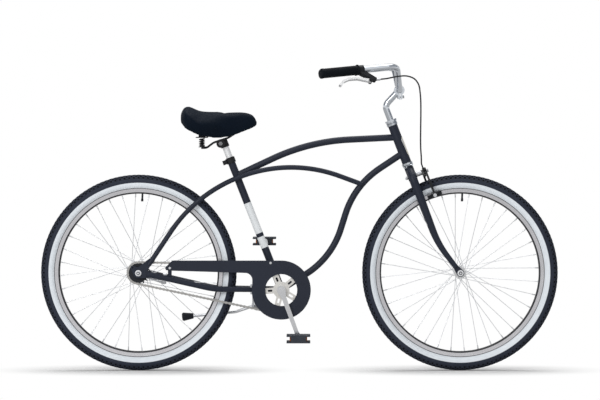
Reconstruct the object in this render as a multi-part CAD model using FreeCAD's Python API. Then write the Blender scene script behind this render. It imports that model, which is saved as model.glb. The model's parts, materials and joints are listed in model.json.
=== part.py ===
# Beach cruiser bicycle: cantilever frame, coaster rear hub, side-pull front brake.
# Millimetres. +X points forward, +Y to the rider's left, +Z up.
# The origin lies on the ground, midway between the axles, on the centre plane.
import FreeCAD, Part
import math
import os
from FreeCAD import Vector

# Fits
shaft_gap = 0.1        # radial, round a pin or a shaft
running_gap = 0.4      # between faces of pieces that move past each other
seat_gap = 0.05        # round a sleeve or plug that is fixed in place

# Wheels
wheel_gap = 426.0       # between the two tyres
tyre_height = 47.0
tyre_width = 54.0
tyre_wall = 3.2
tread_thickness = 6.0
tube_wall = 1.2
rim_radius = 285.0
rim_depth = 17.5
rim_width = 30.0
rim_wall = 2.0
bead_depth = 5.5
brake_track = 12.0
spoke_count = 36
spoke_crosses = 3
spoke_diameter = 2.0
nipple_diameter = 4.0
nipple_length = 12.0
spoke_stand = 1.2
valve_diameter = 6.5
valve_length = 26.0
valve_cap_length = 9.0
flange_thickness = 3.0
front_flange_radius = 21.0
front_flange_spread = 62.0
front_barrel_radius = 12.5
rear_flange_radius = 33.0
rear_flange_spread = 56.0
rear_barrel_radius = 21.0
front_spoke_phase = 3.4
rear_spoke_phase = 2.3
front_axle_diameter = 9.0
rear_axle_diameter = 10.0
front_dropout_spread = 100.0
rear_dropout_spread = 112.0
dropout_thickness = 5.0
axle_nut_width = 15.0
axle_nut_height = 8.0
axle_washer_thickness = 1.6
axle_washer_radius = 10.5
axle_stub = 6.0
hub_cage_ball = 3.2

# Drive
chain_pitch = 12.7
stay_room = 155.0       # from the rear tyre to the crank axis
chainring_teeth = 40
sprocket_teeth = 18
tooth_height = 3.4
sprocket_thickness = 2.8
roller_radius = 3.87
roller_seat_gap = 0.25
tooth_tip_width = 2.4
link_plate_radius = 4.2
link_plate_waist = 3.0
link_plate_thickness = 1.0
link_plate_gap = 0.25
link_pin_radius = 1.8
link_pin_stand = 0.6
chain_line = 42.0
bracket_drop = 57.5
shell_radius = 20.0
shell_wall = 2.6
shell_width = 68.0
cup_flange = 3.0
spindle_radius = 8.5
bracket_ball = 4.4
crank_length = 170.0
crank_angle = -70.0
crank_root_radius = 15.0
crank_eye_radius = 11.5
crank_arm_radius = 8.0
crank_thickness = 13.0
crank_offset = 56.5
taper_side = 12.6
crank_bolt_radius = 9.0
ring_band = 21.0
spider_arms = 5
spider_phase = 40.0
spider_arm_width = 20.0
spider_hub_radius = 28.0
spider_slot_width = 7.0
spider_slot_length = 16.0
driver_radius = 17.0
guard_offset = 51.0
guard_thickness = 1.8
guard_radius = 100.0
guard_opening = 54.0
guard_arm_length = 369.0
guard_arm_nose = 24.0
guard_arm_rear_depth = 34.5
guard_arm_front_depth = 42.0
guard_notch = 98.0
guard_fillet = 24.0
guard_strut_width = 13.0
guard_screw_radius = 4.0
guard_tab_width = 14.0

# Pedals
pedal_length = 80.0
pedal_width = 92.0
pedal_height = 27.0
pedal_tread = 5.5
pedal_barrel_radius = 10.0
pedal_web = 3.0
pedal_web_reach = 26.0
pedal_spindle_radius = 6.0
pedal_collar = 12.0
reflector_thickness = 3.5
reflector_height = 13.0
reflector_length = 66.0

# Frame tubes
head_angle = 69.0
fork_rake = 35.0
head_room = 80.0        # from the front tyre to the head tube, along the steering axis
head_tube_length = 136.0
head_tube_diameter = 32.0
head_tube_wall = 1.6
main_tube_diameter = 22.2
main_tube_wall = 1.6
seat_angle = 68.6
seat_tube_length = 481.0
seat_tube_diameter = 25.4
seat_tube_wall = 1.5
bar_diameter = 16.0
bar_wall = 1.5
stay_diameter = 19.0
stay_wall = 1.5
bridge_diameter = 13.0
top_tube_head_height = 93.0
top_tube_front_slope = 2.8
top_tube_seat_height = 415.0
top_tube_rear_slope = 25.2
top_tube_bend = 690.0
down_tube_head_height = 36.0
down_tube_head_slope = 33.6
down_tube_head_run = 198.0
down_tube_head_bend = 290.0
down_tube_foot_slope = 31.8
down_tube_foot_run = 201.0
down_tube_foot_bend = 280.0
bar_foot_forward = 35.0
bar_foot_height = 28.0
bar_foot_slope = 56.3
bar_knee_inside = 90.0    # from the tyre's outside in to the knee, along the bar
bar_seat_height = 419.0
bar_seat_forward = 32.0
bar_front_slope = 20.3
bar_front_run = 188.0
bar_bend = 480.0
bar_joint_share = 0.41
bar_tyre_spread = 50.0
bar_front_spread = 13.0
bar_middle_spread = 18.0
bar_bridge_share = 0.42
stay_foot_forward = 30.0
stay_foot_drop = 3.0
stay_tyre_back = 228.0
stay_tyre_rise = 3.0
stay_tyre_spread = 47.5
stay_front_back = 110.0
stay_front_spread = 26.5
stay_root_spread = 20.0
stay_bend = 220.0
stay_bridge_back = 126.0
dropout_axle_radius = 17.0
dropout_tab_radius = 9.5
eyelet_radius = 7.0
eyelet_hole = 5.0
eyelet_back = 19.0
badge_width = 25.0
badge_height = 70.0
badge_thickness = 1.2

# Headset and fork
cup_flange_radius = 19.0
cup_stack = 7.0
cup_depth = 9.0
cup_wall = 1.3
headset_ball = 3.4
headset_cone_stack = 4.5
crown_race_stack = 9.0
headset_washer = 1.6
headset_nut_stack = 6.0
headset_nut_width = 34.0
steerer_radius = 12.7
steerer_bore = 11.2
crown_radius = 15.5
crown_height = 46.0
blade_top_radius = 13.75
blade_foot_radius = 8.5
blade_wall = 1.4
blade_spread = 94.0
blade_shoulder = 40.0
blade_shoulder_drop = 22.0
blade_bend = 340.0
blade_bend_height = 118.0
blade_taper_drop = 74.0
blade_foot_height = 24.0
fork_end_radius = 13.0

# Stem, handlebar and brake lever
quill_radius = 11.1
quill_depth = 70.0
stem_height = 72.0
stem_bend = 26.0
stem_reach = 71.0
stem_rise = 47.5
stem_clamp_radius = 18.0
stem_clamp_width = 44.0
stem_ear_reach = 25.0
stem_ear_radius = 8.0
stem_ear_angle = -80.0
stem_ear_width = 16.0
stem_slot = 2.4
stem_bolt_radius = 3.5
wedge_length = 26.0
expander_radius = 3.5
bar_tube_diameter = 22.2
bar_tube_wall = 1.8
bar_flat = 17.0
bar_rise = 80.0
bar_setback = 13.0
bar_shoulder_spread = 205.0
bar_end_back = 268.0
bar_end_drop = 25.0
bar_end_spread = 315.0
bar_lower_bend = 70.0
bar_upper_bend = 48.0
grip_radius = 15.5
grip_length = 137.0
grip_flange_radius = 18.0
grip_flange_length = 4.0
grip_cap = 4.0
perch_width = 18.0
perch_radius = 15.0
lever_lean = 30.0
lever_pivot_ahead = 22.0
lever_pivot_below = 46.0
lever_length = 111.0
lever_splay = 4.5
lever_belly = 14.0
lever_width = 11.0
lever_root_radius = 5.5
lever_blade_radius = 3.8
lever_tip_radius = 4.8
lever_pin_radius = 2.5
lever_cheek = 3.0
perch_arm_radius = 6.0
perch_arm_ahead = 8.0
perch_arm_above = 10.0
perch_nose_cover = 4.0
barrel_below = 43.0
barrel_start = 34.0
barrel_length = 24.0
barrel_radius = 4.2

# Front brake
brake_bolt_room = 31.0  # from the front tyre to the bolt, along the steering axis
brake_bolt_radius = 3.0
brake_spacer_radius = 8.0
brake_arm_start = 35.5
brake_arm_thickness = 7.0
brake_arm_gap = 3.0
brake_arm_root = 9.0
brake_shoulder_spread = 35.0
brake_shoulder_drop = 4.0
brake_shoulder_radius = 7.0
brake_elbow_spread = 46.0
brake_elbow_drop = 34.0
brake_elbow_radius = 6.0
brake_foot_spread = 42.0
pad_below_edge = 8.0    # from the rim's edge to the pad's middle
brake_foot_radius = 7.0
brake_nut_height = 6.0
brake_nut_width = 11.0
stop_spread = 32.0
stop_height = 8.0
stop_radius = 4.2
stop_length = 14.0
anchor_drop = 12.0
anchor_radius = 3.5
arm_lobe_radius = 6.0
wire_radius = 0.75
wire_play = 0.8
wire_slack = 1.6
pad_length = 50.0
pad_height = 10.0
pad_thickness = 9.0
pad_gap = 2.3
pad_plate = 1.8
pad_stud_radius = 2.2
pad_nut_radius = 6.0
pad_nut_height = 6.0
cable_radius = 2.5
cable_lead = 26.0
cable_tail = 14.0
# Route of the brake cable between its lever and the caliper
cable_route = [
    (-95.9212, -194, 307.8346),
    (-59.9212, -171, 311.3346),
    (-31.9212, -146, 301.8346),
    (-15.9212, -124, 279.8346),
    (-9.9212, -96, 233.8346),
    (-8.9212, -71, 185.8346),
    (-8.9212, -50, 137.8346),
    (-8.9212, -32, 93.8346),
    (-7.9212, -18, 62.8346),
    (-5.4212, -7, 35.8346),
]

# Seat
post_diameter = 22.2
post_insert = 175.0
post_above = 64.0
post_wall = 2.0
collar_height = 19.0
collar_wall = 3.3
collar_ear = 12.0
collar_ear_width = 15.0
collar_slot = 2.0
collar_bolt_radius = 3.0
collar_nut_radius = 5.5
clamp_back = 11.0
clamp_barrel_radius = 12.5
clamp_sleeve_wall = 3.4
clamp_sleeve_height = 26.0
clamp_jaw_radius = 14.5
clamp_jaw_thickness = 3.2
clamp_bolt_radius = 4.0
clamp_nut_radius = 7.0
clamp_nut_height = 5.0
rail_diameter = 7.0
rail_spread = 42.0
rail_above = 11.0
rail_slope = 18.0
rail_hold = 26.0
rail_front_reach = 78.0
rail_front_rise = 42.0
rail_front_spread = 16.0
rail_bend = 30.0
spring_spread = 88.0
spring_back = 64.0
spring_below = 10.0
spring_diameter = 19.0
spring_wire = 3.0
spring_turns = 4
spring_pitch = 6.2
spring_seat = 2.5
spring_plate_length = 40.0
spring_plate_thickness = 2.5
pan_thickness = 6.0
skirt_thickness = 5.0
pan_crown = 4.0
pan_lift = 12.0
saddle_skirt_angle = 14.0
# Saddle stations: distance behind the nose, half width, top and lower edge above the clamp centre
saddle_stations = [
    (0.0, 10.0, 74.0, 63.0),
    (14.0, 24.0, 95.0, 59.0),
    (42.0, 31.0, 102.0, 47.5),
    (80.0, 37.0, 101.0, 32.0),
    (120.0, 54.0, 99.5, 21.5),
    (158.0, 84.0, 101.0, 20.5),
    (194.0, 108.0, 108.0, 28.0),
    (222.0, 115.0, 119.0, 41.0),
    (242.0, 106.0, 126.0, 52.0),
    (257.0, 80.0, 103.0, 72.0),
]
saddle_nose_ahead = 123.0

# Coaster brake arm and kickstand
brake_lever_length = 92.0
brake_lever_thickness = 3.0
brake_lever_hub_radius = 13.0
brake_lever_end_radius = 7.0
brake_lever_angle = -22.5
brake_lever_inset = 9.0
clip_width = 12.0
clip_thickness = 1.6
clip_screw_radius = 2.5
stand_back = 88.0
stand_plate_length = 34.0
stand_plate_thickness = 5.0
stand_plate_width = 72.0
stand_bolt_radius = 5.0
stand_bolt_head = 8.0
stand_pivot_drop = 57.0
stand_pivot_out = 40.0
stand_pivot_radius = 11.0
stand_boss_length = 22.0
stand_pin_radius = 5.0
stand_root_length = 11.0
stand_leg_radius = 5.0
stand_knee_back = 68.0
stand_knee_drop = 22.0
stand_foot_back = 212.0
stand_foot_drop = 36.0
stand_foot_out = 9.0
stand_knee_bend = 60.0
stand_rubber_length = 38.0
stand_rubber_start = 9.0
stand_rubber_end = 14.5
stand_tip_cover = 5.0
stand_splay = 31.0
stand_forward = 16.0

# Places worked out from the sizes above
up = Vector(0, 0, 1)
left = Vector(0, 1, 0)
right = Vector(0, -1, 0)
ring_pitch_radius = chain_pitch / (2 * math.sin(math.pi / chainring_teeth))
sprocket_pitch_radius = chain_pitch / (2 * math.sin(math.pi / sprocket_teeth))
tyre_radius = rim_radius + tyre_height
wheelbase = 2 * tyre_radius + wheel_gap
head_tube_bottom = tyre_radius + head_room
brake_bolt_height = tyre_radius + brake_bolt_room
brake_reach = brake_bolt_height - rim_radius + pad_below_edge
rear_axle = Vector(-wheelbase / 2, 0, tyre_radius)
front_axle = Vector(wheelbase / 2, 0, tyre_radius)


def chain_count(centre_distance):
    # Number of pitches in a closed chain over both wheels at this distance
    step = ring_pitch_radius - sprocket_pitch_radius
    run = math.sqrt(centre_distance ** 2 - step ** 2)
    lean = math.asin(step / centre_distance)
    return (
        2 * run / chain_pitch
        + chainring_teeth * (math.pi + 2 * lean) / (2 * math.pi)
        + sprocket_teeth * (math.pi - 2 * lean) / (2 * math.pi)
    )


def chain_distance(links):
    # Centre distance that the given number of links closes on
    low = ring_pitch_radius + sprocket_pitch_radius
    high = links * chain_pitch
    for step in range(80):
        middle = (low + high) / 2
        if chain_count(middle) < links:
            low = middle
        else:
            high = middle
    return (low + high) / 2


chain_links = 2 * round(chain_count(tyre_radius + stay_room) / 2)
stay_length = chain_distance(chain_links)
bracket = rear_axle + Vector(math.sqrt(stay_length ** 2 - bracket_drop ** 2), 0, -bracket_drop)

steer_up = Vector(-math.cos(math.radians(head_angle)), 0, math.sin(math.radians(head_angle)))
steer_ahead = Vector(math.sin(math.radians(head_angle)), 0, math.cos(math.radians(head_angle)))
steer_foot = front_axle - steer_ahead * fork_rake
seat_up = Vector(-math.cos(math.radians(seat_angle)), 0, math.sin(math.radians(seat_angle)))
seat_ahead = Vector(math.sin(math.radians(seat_angle)), 0, math.cos(math.radians(seat_angle)))


def steer(height, ahead=0.0, side=0.0):
    # Point beside the steering axis, counted from the foot of the fork
    return steer_foot + steer_up * height + steer_ahead * ahead + left * side


def seat(height, ahead=0.0, side=0.0):
    # Point beside the seat tube's axis, counted from the bottom bracket
    return bracket + seat_up * height + seat_ahead * ahead + left * side


def sloped(angle):
    # Unit vector in the side view, degrees up from +X
    return Vector(math.cos(math.radians(angle)), 0, math.sin(math.radians(angle)))


def unit(v):
    return Vector(v) / v.Length


# Shapes


def rod(start, end, radius):
    return Part.makeCylinder(radius, (end - start).Length, start, end - start)


def sleeve(start, end, outer, inner):
    return rod(start, end, outer).cut(rod(start, end, inner))


def box(x, y, z):
    # Box between pairs of limits
    return Part.makeBox(x[1] - x[0], y[1] - y[0], z[1] - z[0], Vector(x[0], y[0], z[0]))


def largest(shape):
    return max(shape.Solids, key=lambda solid: solid.Volume)


def merge(shapes):
    return largest(shapes[0].fuse(shapes[1:]).removeSplitter())


def mirror(shape):
    return shape.mirror(Vector(0, 0, 0), left)


def corner(before, at, after, radius):
    # Start, middle and end of the arc that rounds a corner
    back = unit(before - at)
    ahead = unit(after - at)
    half = back.getAngle(ahead) / 2
    reach = radius / math.tan(half)
    middle = at + unit(back + ahead) * (radius / math.sin(half) - radius)
    return at + back * reach, middle, at + ahead * reach


def route(points, radii):
    # Straight runs joined by tangent arcs
    edges = []
    here = points[0]
    for before, at, after, radius in zip(points, points[1:], points[2:], radii):
        start, middle, end = corner(before, at, after, radius)
        if (start - here).Length > 1e-4:
            edges.append(Part.LineSegment(here, start).toShape())
        edges.append(Part.Arc(start, middle, end).toShape())
        here = end
    if (points[-1] - here).Length > 1e-4:
        edges.append(Part.LineSegment(here, points[-1]).toShape())
    return Part.Wire(edges)


def pipe(points, radii, radius):
    ring = Part.Wire(Part.makeCircle(radius, points[0], points[1] - points[0]))
    return route(points, radii).makePipeShell([ring], True, False)


def hollow(points, radii, diameter, wall):
    outer = pipe(points, radii, diameter / 2)
    return outer, outer.cut(pipe(points, radii, diameter / 2 - wall))


def outline(place, steps):
    # Closed wire: a step is a point, or a pair of points that an arc passes through and ends at
    edges = []
    first = place(*steps[0])
    here = first
    for step in steps[1:]:
        if isinstance(step[0], tuple):
            end = place(*step[1])
            edges.append(Part.Arc(here, place(*step[0]), end).toShape())
        else:
            end = place(*step)
            edges.append(Part.LineSegment(here, end).toShape())
        here = end
    if (here - first).Length > 1e-6:
        edges.append(Part.LineSegment(here, first).toShape())
    return Part.Wire(edges)


def turned(steps, centre, axis):
    # Solid of revolution: steps give radius and place along the axis
    face = Part.Face(outline(lambda r, h: Vector(r, 0, h), steps))
    solid = face.revolve(Vector(0, 0, 0), up, 360)
    solid.Placement = FreeCAD.Placement(centre, FreeCAD.Rotation(up, axis))
    return Part.Solid(solid) if solid.ShapeType == "Shell" else solid


def strap(place, depth, a, a_radius, b, b_radius):
    # Plate whose outline wraps two circles
    run = math.hypot(b[0] - a[0], b[1] - a[1])
    aim = math.atan2(b[1] - a[1], b[0] - a[0])
    lean = math.acos((a_radius - b_radius) / run)

    def spot(centre, radius, angle):
        return (centre[0] + radius * math.cos(angle), centre[1] + radius * math.sin(angle))

    wire = outline(place, [
        spot(a, a_radius, aim + lean),
        spot(b, b_radius, aim + lean),
        (spot(b, b_radius, aim), spot(b, b_radius, aim - lean)),
        spot(a, a_radius, aim - lean),
        (spot(a, a_radius, aim + math.pi), spot(a, a_radius, aim + lean)),
    ])
    return Part.Face(wire).extrude(depth)


def side_plate(y):
    # Places a side view outline on the plane at y
    return lambda x, z: Vector(x, y, z)


def hex_prism(start, end, width):
    axis = unit(end - start)
    seed = axis.cross(up) if abs(axis.dot(up)) < 0.9 else axis.cross(left)
    spoke = unit(seed)
    other = axis.cross(spoke)
    reach = width / math.sqrt(3)
    points = []
    for i in range(7):
        angle = math.radians(60 * i)
        points.append(start + spoke * (reach * math.cos(angle)) + other * (reach * math.sin(angle)))
    return Part.Face(Part.makePolygon(points)).extrude(end - start)


def torus(centre, axis, ring_radius, ball):
    return Part.makeTorus(ring_radius, ball / 2, centre, axis)


nodes = {}


def keep(name, *solids):
    nodes[name] = list(solids)


# Wheels


def tyre_steps(inset):
    # Inner face of the tyre casing, drawn in by the inset
    half = tyre_width / 2
    middle = tyre_radius - half
    bead = rim_width / 2 - rim_wall - seat_gap - tyre_wall - inset
    lip = rim_radius + 2.0 + inset
    side = half - tyre_wall - inset
    slant = (half - tread_thickness / 2 - tyre_wall / 2 - inset) * math.sqrt(0.5)
    crown = tyre_radius - tread_thickness - inset
    return [
        (lip, -bead),
        ((middle, -side), (middle + slant, -slant)),
        ((crown, 0.0), (middle + slant, slant)),
        ((middle, side), (lip, bead)),
    ]


def tyre(centre):
    half = tyre_width / 2
    middle = tyre_radius - half
    bead = rim_width / 2 - rim_wall - seat_gap
    foot = rim_radius - bead_depth + seat_gap
    lip = rim_radius + 1.0
    slant = half * math.sqrt(0.5)
    outer = [
        (foot, -bead),
        (lip, -bead),
        ((middle, -half), (middle + slant, -slant)),
        ((tyre_radius, 0.0), (middle + slant, slant)),
        ((middle, half), (lip, bead)),
        (foot, bead),
        (foot, bead - tyre_wall),
    ]
    inner = tyre_steps(0.0)
    back = [inner[3][1], (inner[3][0], inner[2][1]), (inner[2][0], inner[1][1]), (inner[1][0], inner[0])]
    return turned(outer + back + [(foot, -bead + tyre_wall)], centre, left)


def rim(centre, valve):
    half = rim_width / 2
    seat_radius = rim_radius - bead_depth
    inner = rim_radius - rim_depth
    track = rim_radius - brake_track
    bed = inner + 3 * rim_wall
    one_side = [
        (inner, 0.46 * half),
        (inner + 1.5, 0.77 * half),
        (track, half - 0.4),
        (rim_radius, half),
        (rim_radius, half - rim_wall),
        (seat_radius, half - rim_wall),
        (seat_radius, 0.62 * half),
        (bed, 0.4 * half),
    ]
    other = [(r, -y) for r, y in reversed(one_side)]
    ring = turned(one_side + other, centre, left)
    hole = rod(centre + valve * (inner - 10), centre + valve * (rim_radius + 5),
               valve_diameter / 2 + shaft_gap)
    return ring.cut(hole)


def inner_tube(centre, valve):
    outer = turned(tyre_steps(running_gap), centre, left)
    inside = turned(tyre_steps(running_gap + tube_wall), centre, left)
    inner = rim_radius - rim_depth
    root = tyre_radius - tyre_width / 2
    tip = inner - valve_length
    stem = rod(centre + valve * root, centre + valve * tip, valve_diameter / 2)
    cap = rod(centre + valve * (tip + valve_cap_length), centre + valve * tip, valve_diameter / 2 + 0.8)
    return merge([outer, stem, cap]).cut(inside)


def spokes(centre, flange_radius, spread, phase):
    # Laced pattern: alternate spokes leave the two faces of each flange and lean opposite ways
    side_count = spoke_count // 2
    hole_radius = flange_radius - 2 * spoke_diameter
    end_radius = rim_radius - rim_depth - 0.8
    twist = spoke_crosses * 720 / spoke_count
    made = []
    for side in (1, -1):
        for i in range(side_count):
            outside = 1 if i % 2 == 0 else -1
            hole = phase + i * 360 / side_count + (side + 1) * 90 / side_count
            tip = hole + twist * outside
            stand = flange_thickness / 2 + spoke_diameter / 2 + spoke_stand
            start = centre + sloped(hole) * hole_radius + left * (side * (spread / 2 + outside * stand))
            end = centre + sloped(tip) * end_radius + left * (side * rim_width / 12)
            length = (end - start).Length
            thin = spoke_diameter / 2
            steps = [
                (0, 0),
                (thin, 0),
                (thin, length - nipple_length),
                (nipple_diameter / 2, length - nipple_length),
                (nipple_diameter / 2, length),
                (0, length),
            ]
            made.append(turned(steps, start, end - start))
    return made


def front_hub():
    half = front_flange_spread / 2
    edge = flange_thickness / 2
    end = half + 5.0
    bore = front_axle_diameter / 2 + 1.5
    cup = cone_radius(front_axle_diameter) + hub_cage_ball + 2 * running_gap
    one_side = [
        (front_barrel_radius, half - edge - 7),
        (front_barrel_radius + 2, half - edge),
        (front_flange_radius, half - edge),
        (front_flange_radius, half + edge),
        (cup + 3, half + edge),
        (cup + 2, end),
        (cup, end),
        (cup, end - 8),
        (bore, end - 8),
    ]
    other = [(r, -y) for r, y in reversed(one_side)]
    return turned(one_side + other, front_axle, left)


def cone_radius(axle_diameter):
    return axle_diameter / 2 + 2.0


def axle_nuts(centre, spread, axle_diameter):
    # Washer and nut outside each dropout
    made = []
    for side in (1, -1):
        face = spread / 2 + dropout_thickness
        a = centre + left * (side * face)
        b = centre + left * (side * (face + axle_washer_thickness))
        c = centre + left * (side * (face + axle_washer_thickness + axle_nut_height))
        bore = axle_diameter / 2 + seat_gap
        made.append(sleeve(a, b, axle_washer_radius, bore))
        made.append(hex_prism(b, c, axle_nut_width).cut(rod(b, c, bore)))
    return made


def axle_reach(spread):
    return spread / 2 + dropout_thickness + axle_washer_thickness + axle_nut_height + axle_stub


def front_axle_set():
    reach = axle_reach(front_dropout_spread)
    radius = front_axle_diameter / 2
    cone = cone_radius(front_axle_diameter)
    end = front_flange_spread / 2 + 5.0
    made = [rod(front_axle + right * reach, front_axle + left * reach, radius)]
    for side in (left, right):
        steps = [
            (radius + seat_gap, end - 7),
            (cone, end - 7),
            (cone, end + 2),
            (cone + 3, end + 2),
            (cone + 3, front_dropout_spread / 2),
            (radius + seat_gap, front_dropout_spread / 2),
        ]
        made.append(turned(steps, front_axle, side))
        ring = cone + running_gap + hub_cage_ball / 2
        made.append(torus(front_axle + side * (end - 4), side, ring, hub_cage_ball))
    return made + axle_nuts(front_axle, front_dropout_spread, front_axle_diameter)


def make_wheel(name, centre, hub, flange_radius, spread, phase):
    valve = sloped(phase + 85.0)
    keep(name + "_tyre", tyre(centre))
    keep(name + "_rim", rim(centre, valve))
    keep(name + "_inner_tube", inner_tube(centre, valve))
    keep(name + "_spokes", *spokes(centre, flange_radius, spread, phase))
    keep(name + "_hub", hub)


# Rear hub: shell, driver with sprocket, axle with coaster brake inside
rear_shell_left = rear_flange_spread / 2 + 5.0
rear_shell_right = rear_flange_spread / 2 + 3.0
shell_bore = rear_barrel_radius - 4.0


def rear_hub():
    edge = flange_thickness / 2
    half = rear_flange_spread / 2
    steps = [
        (shell_bore, -rear_shell_right),
        (rear_barrel_radius + 3, -rear_shell_right),
        (rear_barrel_radius + 4, -half - edge),
        (rear_flange_radius, -half - edge),
        (rear_flange_radius, -half + edge),
        (rear_barrel_radius + 2, -half + edge),
        (rear_barrel_radius, -half + edge + 6),
        (rear_barrel_radius, half - edge - 6),
        (rear_barrel_radius + 2, half - edge),
        (rear_flange_radius, half - edge),
        (rear_flange_radius, half + edge),
        (rear_barrel_radius + 4, half + edge),
        (rear_barrel_radius + 2, rear_shell_left),
        (shell_bore, rear_shell_left),
    ]
    return turned(steps, rear_axle, left)


def rear_axle_set():
    reach = axle_reach(rear_dropout_spread)
    radius = rear_axle_diameter / 2
    bore = radius + seat_gap
    cone = cone_radius(rear_axle_diameter) + 1.0
    inside = rear_dropout_spread / 2
    brake_face = inside - brake_lever_inset
    made = [rod(rear_axle + right * reach, rear_axle + left * reach, radius)]
    # Right cone, carries the driver
    driver_end = chain_line + sprocket_thickness / 2 + 4.0
    made.append(turned([
        (bore, driver_end - 8),
        (cone, driver_end - 8),
        (cone, driver_end + running_gap),
        (cone + 4, driver_end + running_gap),
        (cone + 4, inside),
        (bore, inside),
    ], rear_axle, right))
    made.append(torus(rear_axle + right * (driver_end - 5), right,
                      cone + running_gap + hub_cage_ball / 2, hub_cage_ball))
    # Left brake cone with its dust cap, up to the brake arm
    plug = shell_bore - running_gap
    made.append(turned([
        (bore, rear_shell_left - 14),
        (plug - 4, rear_shell_left - 14),
        (plug, rear_shell_left - 6),
        (plug, rear_shell_left + running_gap),
        (rear_barrel_radius + 2, rear_shell_left + running_gap),
        (rear_barrel_radius - 3, brake_face - brake_lever_thickness),
        (bore, brake_face - brake_lever_thickness),
    ], rear_axle, left))
    made.append(sleeve(rear_axle + left * brake_face, rear_axle + left * inside, cone + 4, bore))
    # Two brake shoes round the expander
    shoe_start = rear_axle + right * 10
    shoe_end = rear_axle + left * (rear_shell_left - 15)
    shoes = sleeve(shoe_start, shoe_end, shell_bore - 1.0, radius + 4.0)
    slot = box(
        (rear_axle.x - shell_bore, rear_axle.x + shell_bore),
        (-20, rear_shell_left),
        (rear_axle.z - 1.5, rear_axle.z + 1.5),
    )
    made.extend(shoes.cut(slot).Solids)
    made.append(sleeve(shoe_start, shoe_end, radius + 4.0 - seat_gap, bore))
    return made + axle_nuts(rear_axle, rear_dropout_spread, rear_axle_diameter)


# Chain and its wheels
drive = bracket - rear_axle
drive_aim = math.atan2(drive.z, drive.x)
drive_lean = math.asin((ring_pitch_radius - sprocket_pitch_radius) / stay_length)
drive_run = stay_length * math.cos(drive_lean)
top_normal = drive_aim + drive_lean + math.pi / 2
low_normal = drive_aim - drive_lean - math.pi / 2
ring_step = 2 * math.pi / chainring_teeth
sprocket_step = 2 * math.pi / sprocket_teeth
run_pitches = drive_run / chain_pitch
ring_pitches = (math.pi + 2 * drive_lean) / ring_step


def radial(angle):
    return Vector(math.cos(angle), 0, math.sin(angle))


def chain_pin(count):
    # Place of a pin, counted in pitches from where the upper run leaves the sprocket
    plane = right * chain_line
    if count < run_pitches:
        start = rear_axle + radial(top_normal) * sprocket_pitch_radius
        return start + radial(top_normal - math.pi / 2) * (count * chain_pitch) + plane
    count -= run_pitches
    if count < ring_pitches:
        return bracket + radial(top_normal - count * ring_step) * ring_pitch_radius + plane
    count -= ring_pitches
    if count < run_pitches:
        start = bracket + radial(low_normal) * ring_pitch_radius
        return start + radial(low_normal - math.pi / 2) * (count * chain_pitch) + plane
    count -= run_pitches
    return rear_axle + radial(low_normal - count * sprocket_step) * sprocket_pitch_radius + plane


def link_plate(low, high):
    reach = link_plate_radius * math.cos(math.radians(50))
    rise = link_plate_radius * math.sin(math.radians(50))
    middle = chain_pitch / 2
    wire = outline(side_plate(low), [
        (reach, rise),
        ((middle, link_plate_waist), (chain_pitch - reach, rise)),
        ((chain_pitch + link_plate_radius, 0), (chain_pitch - reach, -rise)),
        ((middle, -link_plate_waist), (reach, -rise)),
        ((-link_plate_radius, 0), (reach, rise)),
    ])
    return Part.Face(wire).extrude(left * (high - low))


def chain_links_made():
    inner_face = sprocket_thickness / 2 + running_gap
    inner_end = inner_face + link_plate_thickness
    outer_face = inner_end + link_plate_gap
    outer_end = outer_face + link_plate_thickness
    pin_end = outer_end + link_pin_stand
    ends = (Vector(0, 0, 0), Vector(chain_pitch, 0, 0))
    inner = [link_plate(inner_face, inner_end), link_plate(-inner_end, -inner_face)]
    outer = [link_plate(outer_face, outer_end), link_plate(-outer_end, -outer_face)]
    for end in ends:
        inner.append(rod(end + right * inner_face, end + left * inner_face, roller_radius))
        outer.append(rod(end + right * pin_end, end + left * pin_end, link_pin_radius))
    bore = link_pin_radius + 2 * shaft_gap
    bores = [rod(end + right * pin_end, end + left * pin_end, bore) for end in ends]
    pair = (merge(inner).cut(bores), merge(outer))
    made = []
    for i in range(chain_links):
        start = chain_pin(i)
        end = chain_pin((i + 1) % chain_links)
        run = end - start
        turn = FreeCAD.Rotation(Vector(1, 0, 0), run)
        link = pair[i % 2].copy()
        middle = (start + end) / 2 - unit(run) * (chain_pitch / 2)
        link.Placement = FreeCAD.Placement(middle, turn)
        made.append(link)
    return made


def toothed(centre, pitch_radius, teeth, first_angle):
    low = centre + right * (chain_line - sprocket_thickness / 2)
    high = centre + right * (chain_line + sprocket_thickness / 2)
    tip_radius = pitch_radius + tooth_height
    mouth_radius = tip_radius * math.sin(math.pi / teeth) - tooth_tip_width / 2
    plate = rod(low, high, tip_radius)
    seats = []
    for i in range(teeth):
        aim = radial(first_angle - i * 2 * math.pi / teeth)
        root = centre + aim * pitch_radius
        mouth = centre + aim * tip_radius
        seats.append(strap(side_plate(low.y), high - low, (root.x, root.z), roller_radius + roller_seat_gap,
                           (mouth.x, mouth.z), mouth_radius))
    return plate.cut(seats)


def rear_sprocket():
    passed = run_pitches * 2 + ring_pitches
    start_angle = low_normal + (passed - math.ceil(passed)) * sprocket_step
    plate = toothed(rear_axle, sprocket_pitch_radius, sprocket_teeth, start_angle)
    near = rear_axle + right * (rear_shell_right + running_gap)
    far = rear_axle + right * (chain_line + sprocket_thickness / 2 + 4.0)
    body = merge([plate, rod(near, far, driver_radius)])
    cone = cone_radius(rear_axle_diameter) + 1.0
    return body.cut(rod(near, far, cone + hub_cage_ball + 2 * running_gap))


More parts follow.
